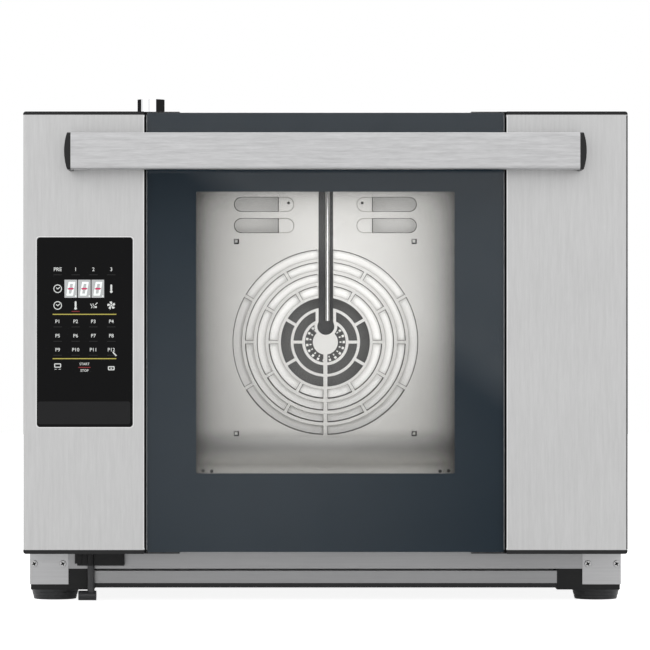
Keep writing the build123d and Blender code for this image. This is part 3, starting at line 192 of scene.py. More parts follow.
def steelMaterial(name, look):
    material, tree, shader = startMaterial(name)
    grain = useGroup(tree, grainGroup, Color=look["color"], Scale=look["grain"], Streaks=look["streaks"],
                     Clouds=look["clouds"], Roughness=look["roughness"], Spread=look["spread"])
    setShader(shader, Metallic=1.0)
    tree.links.new(grain["Color"], shader.inputs["Base Color"])
    if look["roughness"] > 0.0:
        tree.links.new(grain["Roughness"], shader.inputs["Roughness"])
        addBump(tree, shader, grain["Height"], look["depth"])
    else:
        setShader(shader, Roughness=0.0)
    return material


def impellerMaterial(name, look):
    # pressed steel with painted shade: darker inside the eye and behind the front ring's edge, where the hollow of the
    # fan lies in shade
    material, tree, shader = startMaterial(name)
    grain = useGroup(tree, grainGroup, Color=look["color"], Scale=look["grain"], Streaks=look["streaks"],
                     Clouds=look["clouds"], Roughness=look["roughness"], Spread=look["spread"])
    place = addNode(tree, "ShaderNodeTexCoord").outputs["Object"]
    moved = addNode(tree, "ShaderNodeMapping", {"Vector": place, "Location": [-value for value in look["centre"]]},
                    vector_type="POINT")
    parts = addNode(tree, "ShaderNodeSeparateXYZ", {0: moved.outputs[0]}).outputs
    radius = addMath(tree, "SQRT", addMath(tree, "MULTIPLY_ADD", parts[0], parts[0],
                                           addMath(tree, "MULTIPLY", parts[2], parts[2])))
    eye = addNode(tree, "ShaderNodeMapRange", {"Value": radius, "From Min": look["eye"][0], "From Max": look["eye"][1],
                                               "To Min": look["paintedEyeShade"], "To Max": 1.0}).outputs[0]
    deep = addNode(tree, "ShaderNodeMapRange", {"Value": parts[1], "From Min": look["lip"][0],
                                                "From Max": look["lip"][1], "To Min": 1.0,
                                                "To Max": look["paintedEyeShade"]}).outputs[0]
    level = addMath(tree, "MINIMUM", eye, deep)
    colour = addNode(tree, "ShaderNodeVectorMath", {0: grain["Color"], "Scale": level}, operation="SCALE")
    tree.links.new(colour.outputs[0], shader.inputs["Base Color"])
    tree.links.new(grain["Roughness"], shader.inputs["Roughness"])
    setShader(shader, Metallic=1.0)
    addBump(tree, shader, grain["Height"], look["depth"])
    return material


def guardMaterial(name, look):
    # chamber steel with painted shade: a darker band along the bend at its foot
    material, tree, shader = startMaterial(name)
    grain = useGroup(tree, grainGroup, Color=look["color"], Scale=look["grain"], Streaks=look["streaks"],
                     Clouds=look["clouds"], Roughness=look["roughness"], Spread=look["spread"])
    place = addNode(tree, "ShaderNodeTexCoord").outputs["Object"]
    height = addNode(tree, "ShaderNodeSeparateXYZ", {0: place}).outputs[2]
    middle, above, below, share = look["paintedBendShade"]
    away = addMath(tree, "SUBTRACT", height, middle)
    sides = [addNode(tree, "ShaderNodeMapRange", {"Value": away, "From Min": 0.0, "From Max": reach, "To Min": share,
                                                  "To Max": 1.0}, interpolation_type="SMOOTHSTEP").outputs[0]
             for reach in (above, -below)]
    level = addMath(tree, "MAXIMUM", *sides)
    colour = addNode(tree, "ShaderNodeVectorMath", {0: grain["Color"], "Scale": level}, operation="SCALE")
    tree.links.new(colour.outputs[0], shader.inputs["Base Color"])
    tree.links.new(grain["Roughness"], shader.inputs["Roughness"])
    setShader(shader, Metallic=1.0)
    addBump(tree, shader, grain["Height"], look["depth"])
    return material


def mouldedMaterial(name, look):
    material, tree, shader = startMaterial(name)
    skin = useGroup(tree, mouldGroup, Color=look["color"], Pebble=look["pebble"], Shade=look["shade"],
                    Roughness=look["roughness"], Spread=look["spread"])
    setShader(shader, Metallic=look.get("metallic", 0.0), IOR=look.get("ior", 1.46))
    tree.links.new(skin["Color"], shader.inputs["Base Color"])
    tree.links.new(skin["Roughness"], shader.inputs["Roughness"])
    addBump(tree, shader, skin["Height"], look["depth"])
    return material


def paneMaterial(name, look):
    # flat thin glass: sight and light go straight through, and each face mirrors a little, as much from
    # inside as from outside, because a ray isn't bent in it
    material, tree, shader = startMaterial(name)
    tree.nodes.remove(shader)
    through = addNode(tree, "ShaderNodeBsdfTransparent", {"Color": look["tint"]})
    mirror = addNode(tree, "ShaderNodeBsdfAnisotropic", {"Color": (1.0, 1.0, 1.0, 1.0), "Roughness": 0.0})
    marks = useGroup(tree, smudgeGroup, Size=look["markSize"])
    behind = addNode(tree, "ShaderNodeNewGeometry").outputs["Backfacing"]
    ior = addMath(tree, "MULTIPLY_ADD", behind, 1 / look["ior"] - look["ior"], look["ior"])
    share = addNode(tree, "ShaderNodeFresnel", {"IOR": ior})
    wiped = addMath(tree, "MULTIPLY_ADD", marks["Marks"], -look["dull"], 1.0)
    share = addMath(tree, "MULTIPLY", share.outputs[0], wiped)
    mix = addNode(tree, "ShaderNodeMixShader", {0: share, 1: through.outputs[0], 2: mirror.outputs[0]})
    tree.links.new(mix.outputs[0], tree.nodes["Material Output"].inputs["Surface"])
    return material


def glowMaterial(name, look):
    material, tree, shader = startMaterial(name)
    setShader(shader, Base_Color=look["color"], Emission_Color=look["color"], Emission_Strength=look["glow"],
              Roughness=look["roughness"])
    return material


# Steel: grain gives the scale of the lines on X, Y and Z in lines per metre, smallest along the brushing
casingSteel = {"color": tone(205, 206, 207), "grain": (1500, 60, 1500), "streaks": 0.22, "clouds": 0.08,
               "roughness": 0.36, "spread": 0.12, "depth": 0.00003}
doorSteel = {"color": tone(203, 203, 203), "grain": (1500, 1500, 90), "streaks": 0.30, "clouds": 0.06,
             "roughness": 0.36, "spread": 0.12, "depth": 0.00003}
handleSteel = {"color": tone(199, 199, 200), "grain": (110, 1600, 1600), "streaks": 0.80, "clouds": 0.14,
               "roughness": 0.33, "spread": 0.14, "depth": 0.00003}
baseSteel = {"color": tone(191, 191, 192), "grain": (45, 1500, 1500), "streaks": 0.36, "clouds": 0.10,
             "roughness": 0.34, "spread": 0.12, "depth": 0.00003}
# darker copy of the base steel for the parts under the door's overhang: painted shade
shadedChannelSteel = {"color": tone(163, 163, 164), "grain": (45, 1500, 1500), "streaks": 0.30, "clouds": 0.10,
                "roughness": 0.38, "spread": 0.12, "depth": 0.00003}
chamberSteel = {"color": tone(239, 238, 235), "grain": (240, 240, 240), "streaks": 0.08, "clouds": 0.05,
                "roughness": 0.50, "spread": 0.10, "depth": 0.00001}
frameSteel = {"color": tone(196, 198, 200), "grain": (320, 320, 60), "streaks": 0.15, "clouds": 0.08,
              "roughness": 0.38, "spread": 0.12, "depth": 0.00002}
zincSteel = {"color": tone(196, 197, 190), "grain": (160, 160, 160), "streaks": 0.28, "clouds": 0.14,
             "roughness": 0.36, "spread": 0.20, "depth": 0.00002}
# impeller steel: paintedEyeShade is how dark the painted shade makes it inside the eye and behind the front ring's lip
impellerSteel = {"color": tone(230, 229, 226), "grain": (200, 200, 200), "streaks": 0.10, "clouds": 0.06,
                 "roughness": 0.34, "spread": 0.10, "depth": 0.00001, "paintedEyeShade": 0.12,
                 "centre": (0.0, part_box("fan_impeller")[0].y, 0.2598), "eye": (0.0495, 0.0505), "lip": (0.002, 0.006)}
brightWire = {"color": tone(228, 228, 228), "grain": (300, 300, 60), "streaks": 0.06, "clouds": 0.04,
              "roughness": 0.12, "spread": 0.06, "depth": 0.000005}
chimneySteel = {"color": tone(246, 246, 247), "grain": (500, 500, 40), "streaks": 0.06, "clouds": 0.04,
                "roughness": 0.0, "spread": 0.0, "depth": 0.0}
turnedSteel = {"color": tone(210, 210, 210), "grain": (90, 1800, 90), "streaks": 0.18, "clouds": 0.05,
               "roughness": 0.22, "spread": 0.12, "depth": 0.00002}
screwSteel = {"color": tone(206, 206, 206), "grain": (400, 400, 400), "streaks": 0.16, "clouds": 0.06,
              "roughness": 0.28, "spread": 0.12, "depth": 0.00001}
elementAlloy = {"color": tone(92, 86, 80), "grain": (260, 260, 260), "streaks": 0.5, "clouds": 0.5,
                "roughness": 0.48, "spread": 0.24, "depth": 0.00003}
motorCasting = {"color": tone(170, 173, 178), "grain": (700, 700, 700), "streaks": 0.2, "clouds": 0.1,
                "roughness": 0.52, "spread": 0.2, "depth": 0.00012}
lightProfile = {"color": tone(222, 222, 220), "grain": (900, 900, 20), "streaks": 0.12, "clouds": 0.04,
                "roughness": 0.30, "spread": 0.08, "depth": 0.00002}
studBrass = {"color": tone(212, 178, 96), "grain": (200, 1500, 200), "streaks": 0.2, "clouds": 0.1,
             "roughness": 0.26, "spread": 0.14, "depth": 0.00002}

# Moulded and painted parts: pebble is the grain of the skin, in bumps per metre
darkSheet = {"color": tone(34, 34, 36), "pebble": 1400, "shade": 0.3, "roughness": 0.42, "spread": 0.2,
             "depth": 0.00004}
blackPlastic = {"color": tone(27, 27, 28), "pebble": 1900, "shade": 0.35, "roughness": 0.40, "spread": 0.2,
                "depth": 0.00006, "ior": 1.38}
fanPlastic = {"color": tone(28, 28, 29), "pebble": 1500, "shade": 0.3, "roughness": 0.5, "spread": 0.2,
              "depth": 0.00005}
palePlastic = {"color": tone(214, 211, 202), "pebble": 1500, "shade": 0.12, "roughness": 0.44, "spread": 0.15,
               "depth": 0.00004}
boardGreen = {"color": tone(24, 92, 54), "pebble": 700, "shade": 0.4, "roughness": 0.36, "spread": 0.2,
              "depth": 0.00003}
footRubber = {"color": tone(70, 70, 72), "pebble": 1300, "shade": 0.4, "roughness": 0.32, "spread": 0.2,
              "depth": 0.00003, "ior": 1.5}
# dark plate behind the fan's eye: painted shade, where the hollow behind the impeller lies in shade
eyeShadePlate = {"color": tone(66, 63, 60), "pebble": 900, "shade": 0.4, "roughness": 0.5, "spread": 0.2,
               "depth": 0.00003, "metallic": 0.6}
sealSilicone = {"color": tone(46, 46, 47), "pebble": 900, "shade": 0.3, "roughness": 0.55, "spread": 0.2,
                "depth": 0.00005}
wool = {"color": tone(206, 190, 150), "pebble": 260, "shade": 0.8, "roughness": 0.95, "spread": 0.1,
        "depth": 0.0015}
displayBlack = {"color": tone(30, 30, 31), "pebble": 1500, "shade": 0.2, "roughness": 0.2, "spread": 0.1,
                "depth": 0.00001}

# Glass: tint is what one face lets through, ior how much it mirrors
outerPane = {"tint": (0.985, 0.985, 0.987, 1.0), "ior": 1.52, "markSize": 14.0, "dull": 0.12}
innerPane = {"tint": (0.99, 0.99, 0.988, 1.0), "ior": 1.12, "markSize": 9.0, "dull": 0.2}
panelGloss = {"color": tone(13, 13, 14), "markSize": 40.0, "clean": 0.16, "dull": 0.12, "specular": 0.09}


def panelGlossMaterial(name, look):
    material, tree, shader = startMaterial(name)
    marks = useGroup(tree, smudgeGroup, Size=look["markSize"], Clean=look["clean"], Dull=look["dull"])
    setShader(shader, Base_Color=look["color"], Specular_IOR_Level=look["specular"])
    tree.links.new(marks["Roughness"], shader.inputs["Roughness"])
    return material


finishes = {
    "casing_steel": steelMaterial("casingSteel", casingSteel),
    "door_steel": steelMaterial("doorSteel", doorSteel),
    "handle_steel": steelMaterial("handleSteel", handleSteel),
    "base_steel": steelMaterial("baseSteel", baseSteel),
    "chamber_steel": steelMaterial("chamberSteel", chamberSteel),
    "frame_steel": steelMaterial("frameSteel", frameSteel),
    "bright_wire": steelMaterial("brightWire", brightWire),
    "chimney_steel": steelMaterial("chimneySteel", chimneySteel),
    "turned_steel": steelMaterial("turnedSteel", turnedSteel),
    "screw_steel": steelMaterial("screwSteel", screwSteel),
    "zinc_steel": steelMaterial("zincSteel", zincSteel),
    "impeller_steel": impellerMaterial("impellerSteel", impellerSteel),
    "element_alloy": steelMaterial("elementAlloy", elementAlloy),
    "motor_casting": steelMaterial("motorCasting", motorCasting),
    "light_profile": steelMaterial("lightProfile", lightProfile),
    "stud_brass": steelMaterial("studBrass", studBrass),
    "dark_sheet": mouldedMaterial("darkSheet", darkSheet),
    "black_plastic": mouldedMaterial("blackPlastic", blackPlastic),
    "fan_plastic": mouldedMaterial("fanPlastic", fanPlastic),
    "pale_plastic": mouldedMaterial("palePlastic", palePlastic),
    "board_green": mouldedMaterial("boardGreen", boardGreen),
    "foot_rubber": mouldedMaterial("footRubber", footRubber),
    "seal_silicone": mouldedMaterial("sealSilicone", sealSilicone),
    "wool": mouldedMaterial("mineralWool", wool),
    "display_black": mouldedMaterial("displayBlack", displayBlack),
    "outer_pane": paneMaterial("outerPane", outerPane),
    "inner_pane": paneMaterial("innerPane", innerPane),
    "panel_gloss": panelGlossMaterial("panelGloss", panelGloss),
}
ownFinishes = {
    # the guard's steel darkens along the bend at its foot: painted shade
    "fan_guard": guardMaterial("guardSteel", {**chamberSteel, "paintedBendShade": (0.145, 0.024, 0.020, 0.36)}),
    # drip channel and front rail under the door get darker steel: painted shade
    "drip_channel": steelMaterial("shadedChannelSteel", shadedChannelSteel),
    "front_rail": steelMaterial("shadedRailSteel", {**shadedChannelSteel, "color": tone(170, 170, 171)}),
    # motor plate, shaft and nut, seen through the fan's eye, are dark: painted shade
    "motor_plate": mouldedMaterial("eyeShadePlate", eyeShadePlate),
    "motor_shaft": mouldedMaterial("eyeShadePlate", eyeShadePlate),
    "fan_nut": mouldedMaterial("eyeShadeNut", eyeShadePlate),
}
for row in record["subparts"]:
    for holder in nodes[row["node"]].material_slots:
        holder.material = ownFinishes.get(row["node"], finishes[row["material_slot"]])
print("materials on", len(record["subparts"]), "pieces")


# Ways to make a piece

def finishPiece(mesh, name, body, material):
    piece = bpy.data.objects.new(name, mesh)
    bpy.context.scene.collection.objects.link(piece)
    mesh.materials.clear()
    mesh.materials.append(material)
    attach(piece, body)
    return piece


def meshFrom(sketch, name):
    bmesh.ops.remove_doubles(sketch, verts=sketch.verts, dist=1e-7)
    bmesh.ops.recalc_face_normals(sketch, faces=sketch.faces)
    mesh = bpy.data.meshes.new(name)
    sketch.to_mesh(mesh)
    sketch.free()
    return mesh


def addPlate(sketch, outline, front, back):
    # a flat plate that faces the user: outline in X and Z, between two depths
    rings = [[sketch.verts.new((x, y, z)) for x, z in outline] for y in (front, back)]
    sketch.faces.new(rings[0])
    sketch.faces.new(list(reversed(rings[1])))
    for index in range(len(outline)):
        after = (index + 1) % len(outline)
        sketch.faces.new((rings[0][index], rings[1][index], rings[1][after], rings[0][after]))


def addFrame(sketch, outline, hole, front, back):
    # a plate with a hole: both outlines have the same number of points, in the same order
    count = len(outline)
    rings = [[sketch.verts.new((x, y, z)) for x, z in loop] for loop in (outline, hole) for y in (front, back)]
    for index in range(count):
        after = (index + 1) % count
        for first, second in ((0, 1), (1, 3), (3, 2), (2, 0)):
            sketch.faces.new((rings[first][index], rings[second][index], rings[second][after], rings[first][after]))


def roundedBox(low, high, radius, steps=4):
    # the outline of a rounded rectangle in X and Z
    points = []
    for corner, (x, z) in enumerate(((high[0], high[1]), (low[0], high[1]), (low[0], low[1]), (high[0], low[1]))):
        centre = (x - radius if corner in (0, 3) else x + radius, z - radius if corner in (0, 1) else z + radius)
        for step in range(steps + 1):
            angle = math.radians(90 * corner + 90 * step / steps)
            points.append((centre[0] + radius * math.cos(angle), centre[1] + radius * math.sin(angle)))
    return points


def disc(centre, radius, steps=32):
    angles = [2 * math.pi * step / steps for step in range(steps)]
    return [(centre[0] + radius * math.cos(a), centre[1] + radius * math.sin(a)) for a in angles]


def bar(start, end, width):
    # a straight stroke between two points of X and Z
    along = Vector(end) - Vector(start)
    side = Vector((-along.y, along.x)).normalized() * width / 2
    corners = (Vector(start) - side, Vector(end) - side, Vector(end) + side, Vector(start) + side)
    return [(corner.x, corner.y) for corner in corners]


# Printed border behind the outer pane, with the clear window in it
windowPrint = {"clear": ((-128.5, 131.0), (128.5, 411.0)), "corner": 1.2, "edge": 0.3, "depth": 4.85, "film": 0.1,
               "color": tone(43, 54, 63)}


def makeWindowPrint():
    look = windowPrint
    low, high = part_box("outer_glass")
    edge = look["edge"] * mm
    outline = roundedBox((low.x + edge, low.z + edge), (high.x - edge, high.z - edge), 1.4 * mm)
    clear = [[value * mm for value in corner] for corner in look["clear"]]
    hole = roundedBox(clear[0], clear[1], look["corner"] * mm)
    sketch = bmesh.new()
    front = doorFace + look["depth"] * mm
    addFrame(sketch, outline, hole, front, front + look["film"] * mm)
    ink = mouldedMaterial("windowInk", {"color": look["color"], "pebble": 40, "shade": 0.10, "roughness": 0.9,
                                        "spread": 0.05, "depth": 0.000001, "ior": 1.0})
    return finishPiece(meshFrom(sketch, "window_print"), "window_print", "door", ink)


# Small dark studs behind the glass at the window's lower corners; centre on X and Z
glassStuds = {"at": ((-121.6, 133.6), (-113.0, 133.2), (114.0, 133.2), (122.4, 133.6)), "radius": 1.7,
              "depth": (5.1, 6.2)}


def makeGlassStuds():
    look = glassStuds
    front, back = [doorFace + value * mm for value in look["depth"]]
    sketch = bmesh.new()
    for place in look["at"]:
        addPlate(sketch, [(x * mm, z * mm) for x, z in disc(place, look["radius"], 16)], front, back)
    return finishPiece(meshFrom(sketch, "glass_studs"), "glass_studs", "door", finishes["black_plastic"])


# Thin strips on the door's face: pale ones along the panels' inner edges are a painted highlight, and a black one along
# the right edge is painted shade
panelEdges = {"pale": 0.8, "dark": 1.0, "front": -0.06, "back": 0.5, "inset": 0.6,
              "tone": tone(240, 240, 240), "black": tone(16, 16, 16)}


def makePanelEdges():
    look = panelEdges
    left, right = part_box("door_panel_left"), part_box("door_panel_right")
    front, back = doorFace + look["front"] * mm, doorFace + look["back"] * mm
    pale, dark, inset = look["pale"] * mm, look["dark"] * mm, look["inset"] * mm
    spans = ((left[1].x - pale, left[1].x + 0.02 * mm, "pale"), (right[0].x - 0.02 * mm, right[0].x + pale, "pale"),
             (right[1].x - dark, right[1].x + 0.02 * mm, "dark"))
    for name, kind in (("panel_edge_highlights", "pale"), ("panel_edge_shade", "dark")):
        sketch = bmesh.new()
        for start, end, sort in spans:
            if sort == kind:
                addPlate(sketch, [(start, left[0].z + inset), (end, left[0].z + inset), (end, left[1].z - inset),
                                  (start, left[1].z - inset)], front, back)
        # pale strips: a lighter copy of the door steel, a painted highlight on the panels' rounded inner edges; black
        # strip: painted shade on the right edge
        if kind == "pale":
            material = steelMaterial("edgeHighlightSteel", {**doorSteel, "color": look["tone"], "roughness": 0.3})
        else:
            material = mouldedMaterial("edgeShadeStrip", {**sealSilicone, "color": look["black"], "ior": 1.2})
        finishPiece(meshFrom(sketch, name), name, "door", material)


# Thin black strips in the gaps between the outer pane and the steel panels: painted shade that keeps the gaps dark
paneGapShade = {"front": 2.0, "back": 5.5, "clear": 0.1}


def makePaneGapShades():
    look = paneGapShade
    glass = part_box("outer_glass")
    sketch = bmesh.new()
    for steel, edge in (("door_panel_left", glass[0].x), ("door_panel_right", glass[1].x)):
        low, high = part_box(steel)
        span = sorted((edge, high.x if edge < 0 else low.x))
        low, high = (span[0] + look["clear"] * mm, glass[0].z), (span[1] - look["clear"] * mm, glass[1].z)
        addPlate(sketch, roundedBox(low, high, 0.6 * mm), doorFace + look["front"] * mm, doorFace + look["back"] * mm)
    seal = mouldedMaterial("paneGapShade", {"color": tone(14, 14, 15), "pebble": 900, "shade": 0.3, "roughness": 0.7,
                                        "spread": 0.1, "depth": 0.00003, "ior": 1.2})
    return finishPiece(meshFrom(sketch, "pane_gap_shades"), "pane_gap_shades", "door", seal)


# Painted shade: a film behind the clear window that darkens softly towards each edge, by this share and over this
# length in mm
windowShadeFilm = {"left": (0.76, 14.0), "right": (0.80, 18.0), "top": (0.54, 12.0), "bottom": (0.18, 5.0),
              "depth": 4.86, "film": 0.07, "overlap": 0.2}


# see-through colour that darkens towards the window's edges: painted shade
def shadeFilmMaterial():
    look = windowShadeFilm
    material, tree, shader = startMaterial("windowShadeFilm")
    tree.nodes.remove(shader)
    place = addNode(tree, "ShaderNodeTexCoord").outputs["Object"]
    x, y, z = addNode(tree, "ShaderNodeSeparateXYZ", {0: place}).outputs
    (left, low), (right, high) = windowPrint["clear"]
    level = 1.0
    for side, axis, edge, way in (("left", x, left, 1), ("right", x, right, -1), ("top", z, high, -1),
                                  ("bottom", z, low, 1)):
        share, length = look[side]
        reach = addMath(tree, "MULTIPLY_ADD", axis, -way / (length * mm), way * edge / length)
        fade = addMath(tree, "EXPONENT", addMath(tree, "MINIMUM", reach, 0.0))
        level = addMath(tree, "MULTIPLY", addMath(tree, "MULTIPLY_ADD", fade, -share, 1.0), level)
    level = addMath(tree, "SQRT", level)
    shade = addNode(tree, "ShaderNodeCombineColor", {0: level, 1: level, 2: level})
    through = addNode(tree, "ShaderNodeBsdfTransparent", {"Color": shade.outputs[0]})
    tree.links.new(through.outputs[0], tree.nodes["Material Output"].inputs["Surface"])
    return material


def makeWindowShadeFilm():
    look = windowShadeFilm
    (left, low), (right, high) = windowPrint["clear"]
    grow = look["overlap"]
    outline = [(x * mm, z * mm) for x, z in roundedBox((left - grow, low - grow), (right + grow, high + grow), 1.2)]
    front = doorFace + look["depth"] * mm
    sketch = bmesh.new()
    addPlate(sketch, outline, front, front + look["film"] * mm)
    return finishPiece(meshFrom(sketch, "window_shade_film"), "window_shade_film", "door", shadeFilmMaterial())


makeWindowPrint()
makeWindowShadeFilm()
makePaneGapShades()
makeGlassStuds()
makePanelEdges()
print("window print, film, seals and edges made")


# Painted shade along the edges of the fan guard's slots, finger openings and square holes: thin dark and faint lines
# and black marks stand in for the shade at each edge; sizes in millimetres
guardEdges = {
    "centre": 259.8, "bar": 1.65, "spine": 2.2, "slot": 8.6, "depth": (-0.03, 0.3),
    "rings": ((51.7, 62.1, 0), (65.6, 75.0, 30), (78.7, 87.9, 0), (91.3, 101.6, 30)),
    "outerLine": 0.85, "lowerShadeGrowth": 0.8, "innerLine": 0.4, "endLine": 0.5,
    "fingers": {"levels": (387.2, 410.4), "inner": 34.0, "step": 51.0, "outer": 100.0, "height": 16.3},
    "dots": ((-40.3, 412.0), (40.3, 412.0)), "dot": 1.6,
    "squares": ((-97.2, 159.7), (97.2, 159.7), (-97.2, 369.8), (97.2, 369.8)),
    "squareSides": ((-2.8, -2.8, 2.8, -1.3), (1.2, -1.3, 2.8, 2.8), (-2.8, -1.3, -2.1, 2.8), (-2.1, 2.2, 1.2, 2.8)),
    "dark": {"color": tone(84, 81, 77), "pebble": 300, "shade": 1.2, "roughness": 0.6, "spread": 0.1,
             "depth": 0.00001, "metallic": 0.2, "ior": 1.2},
    "faint": {"color": tone(176, 173, 168), "pebble": 300, "shade": 0.7, "roughness": 0.5, "spread": 0.1,
              "depth": 0.00001, "metallic": 0.4, "ior": 1.2},
    "black": {"color": tone(22, 21, 20), "pebble": 600, "shade": 0.4, "roughness": 0.7, "spread": 0.1,
              "depth": 0.00001, "ior": 1.2},
}


def arcStrip(inner, outer, start, end, centre=(0.0, 0.0)):
    # the outline of a strip between two radii, from one angle to another
    steps = max(3, int((end - start) / math.radians(5)))
    angles = [start + (end - start) * step / steps for step in range(steps + 1)]
    sides = [(outer, angles), (inner, list(reversed(angles)))]
    return [(centre[0] + radius * math.cos(a), centre[1] + radius * math.sin(a)) for radius, turn in sides for a in turn]


def ringGaps(inner, outer, first):
    # the angles between the bars of one ring
    look = guardEdges
    blocks = {first + 60 * index: look["bar"] for index in range(6)}
    blocks[90], blocks[270] = look["slot"], look["spine"]
    order = sorted(blocks)
    radius = (inner + outer) / 2
    gaps = []
    for index, angle in enumerate(order):
        after = order[(index + 1) % len(order)] + (360 if index == len(order) - 1 else 0)
        start = math.radians(angle) + math.asin(blocks[angle] / radius)
        end = math.radians(after) - math.asin(blocks[after % 360] / radius)
        gaps.append((start, end, angle == 90, after == 90))
    return gaps


def makeGuardEdges():
    look = guardEdges
    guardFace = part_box("guard_posts")[0].y - 0.3 * mm
    front, back = [guardFace + value * mm for value in look["depth"]]
    centre = (0.0, look["centre"])
    dark, faint, black = bmesh.new(), bmesh.new(), bmesh.new()

    def add(sketch, outline):
        addPlate(sketch, [(x * mm, z * mm) for x, z in outline], front, back)

    for inner, outer, first in look["rings"]:
        for start, end, openStart, openEnd in ringGaps(inner, outer, first):
            # painted shade: the dark line grows wider on the lower half of each ring
            downward = max(0.0, -math.sin((start + end) / 2))
            line = look["outerLine"] * (1.0 + look["lowerShadeGrowth"] * downward)
            add(dark, arcStrip(outer - line, outer, start, end, centre))
            add(faint, arcStrip(inner, inner + look["innerLine"], start, end, centre))
            turn = look["endLine"] / ((inner + outer) / 2)
            for low, high, opened in ((start, start + turn, openStart), (end - turn, end, openEnd)):
                if not opened:
                    add(dark, arcStrip(inner + look["innerLine"], outer - line, low, high, centre))
    fingers = look["fingers"]
    half = fingers["height"] / 2
    for side in (-1, 1):
        for level in fingers["levels"]:
            for sketch, end, turn, width in ((dark, fingers["outer"] - half, -90, 0.9), (faint, fingers["inner"] + half, 90, 0.5)):
                strip = arcStrip(half - width, half, math.radians(turn), math.radians(turn + 180))
                add(sketch, [(side * (end + x), level + z) for x, z in strip][::side])
            for top in (-1, 1):
                edge = level + top * half
                for sketch, start, end, width in ((dark, fingers["step"], fingers["outer"] - half, 0.6),
                                                  (faint, fingers["inner"] + half, fingers["step"], 0.5)):
                    low, high = sorted((side * start, side * end))
                    levels = sorted((edge, edge - top * width))
                    add(sketch, [(low, levels[0]), (high, levels[0]), (high, levels[1]), (low, levels[1])])
            low, high = sorted((side * fingers["step"], side * (fingers["step"] + 0.9)))
            add(dark, [(low, level - half), (high, level - half), (high, level + half), (low, level + half)])
    for place in look["dots"]:
        add(black, disc(place, look["dot"], 16))
    # black strips paint the shade inside the square holes
    for x, z in look["squares"]:
        for left, low, right, high in look["squareSides"]:
            add(black, [(x + left, z + low), (x + right, z + low), (x + right, z + high), (x + left, z + high)])
    for sketch, name, tint in ((dark, "guard_edge_shade_lines", "dark"), (faint, "guard_faint_shade_lines", "faint"),
                               (black, "guard_dots", "black")):
        finishPiece(meshFrom(sketch, name), name, "cabinet", mouldedMaterial(name, look[tint]))


# Pieces that repeat: each row or ring of them is made by a node tree and kept as a mesh
def repeatTree(name, ring):
    tree = bpy.data.node_groups.new(name, "GeometryNodeTree")
    face = tree.interface
    face.new_socket("Geometry", in_out="INPUT", socket_type="NodeSocketGeometry")
    for label, kind in (("Count", "NodeSocketInt"), ("Size", "NodeSocketVector"), ("Centre", "NodeSocketVector"),
                        ("Step", "NodeSocketVector"), ("Radius", "NodeSocketFloat"), ("Turn", "NodeSocketVector"),
                        ("Material", "NodeSocketMaterial")):
        face.new_socket(label, in_out="INPUT", socket_type=kind)
    face.new_socket("Geometry", in_out="OUTPUT", socket_type="NodeSocketGeometry")
    given = tree.nodes.new("NodeGroupInput").outputs
    result = tree.nodes.new("NodeGroupOutput").inputs
    shape = addNode(tree, "GeometryNodeMeshCube", {"Size": given["Size"]})
    index = addNode(tree, "GeometryNodeInputIndex").outputs[0]
    if ring:
        turn = addMath(tree, "DIVIDE", addMath(tree, "MULTIPLY", index, 2 * math.pi), given["Count"])
        points = addNode(tree, "GeometryNodePoints", {"Count": given["Count"]})
        across = addMath(tree, "MULTIPLY", addMath(tree, "COSINE", turn), given["Radius"])
        above = addMath(tree, "MULTIPLY", addMath(tree, "SINE", turn), given["Radius"])
        place = addNode(tree, "ShaderNodeCombineXYZ", {0: across, 2: above})
        moved = addNode(tree, "ShaderNodeVectorMath", {0: place.outputs[0], 1: given["Centre"]}, operation="ADD")
        tree.links.new(moved.outputs[0], points.inputs["Position"])
        spin = addNode(tree, "ShaderNodeCombineXYZ", {1: addMath(tree, "MULTIPLY", turn, -1.0)})
        angle = addNode(tree, "ShaderNodeVectorMath", {0: spin.outputs[0], 1: given["Turn"]}, operation="ADD")
        copies = addNode(tree, "GeometryNodeInstanceOnPoints",
                         {"Points": points.outputs[0], "Instance": shape.outputs[0], "Rotation": angle.outputs[0]})
    else:
        points = addNode(tree, "GeometryNodeMeshLine",
                         {"Count": given["Count"], "Start Location": given["Centre"], "Offset": given["Step"]})
        copies = addNode(tree, "GeometryNodeInstanceOnPoints",
                         {"Points": points.outputs[0], "Instance": shape.outputs[0], "Rotation": given["Turn"]})
    solid = addNode(tree, "GeometryNodeRealizeInstances", {0: copies.outputs[0]})
    painted = addNode(tree, "GeometryNodeSetMaterial", {"Geometry": solid.outputs[0], "Material": given["Material"]})
    tree.links.new(painted.outputs[0], result["Geometry"])
    return tree


def repeatMesh(tree, values):
    mesh = bpy.data.meshes.new("carrier")
    holder = bpy.data.objects.new("carrier", mesh)
    bpy.context.scene.collection.objects.link(holder)
    modifier = holder.modifiers.new("repeat", "NODES")
    modifier.node_group = tree
    for item in tree.interface.items_tree:
        if item.in_out == "INPUT" and item.name in values:
            modifier[item.identifier] = values[item.name]
    bpy.context.view_layer.update()
    made = bpy.data.meshes.new_from_object(holder.evaluated_get(bpy.context.evaluated_depsgraph_get()))
    bpy.data.objects.remove(holder)
    return made


def makeRepeat(name, body, material, tree, rows):
    # rows: the named inputs of each row or ring, in millimetres and degrees
    sketch = bmesh.new()
    for row in rows:
        values = {"Material": material, "Count": row["Count"]}
        for label in ("Size", "Centre", "Step"):
            values[label] = [value * mm for value in row.get(label, (0.0, 0.0, 0.0))]
        values["Radius"] = row.get("Radius", 0.0) * mm
        values["Turn"] = [math.radians(value) for value in row.get("Turn", (0.0, 0.0, 0.0))]
        mesh = repeatMesh(tree, values)
        sketch.from_mesh(mesh)
        bpy.data.meshes.remove(mesh)
    return finishPiece(meshFrom(sketch, name), name, body, material)


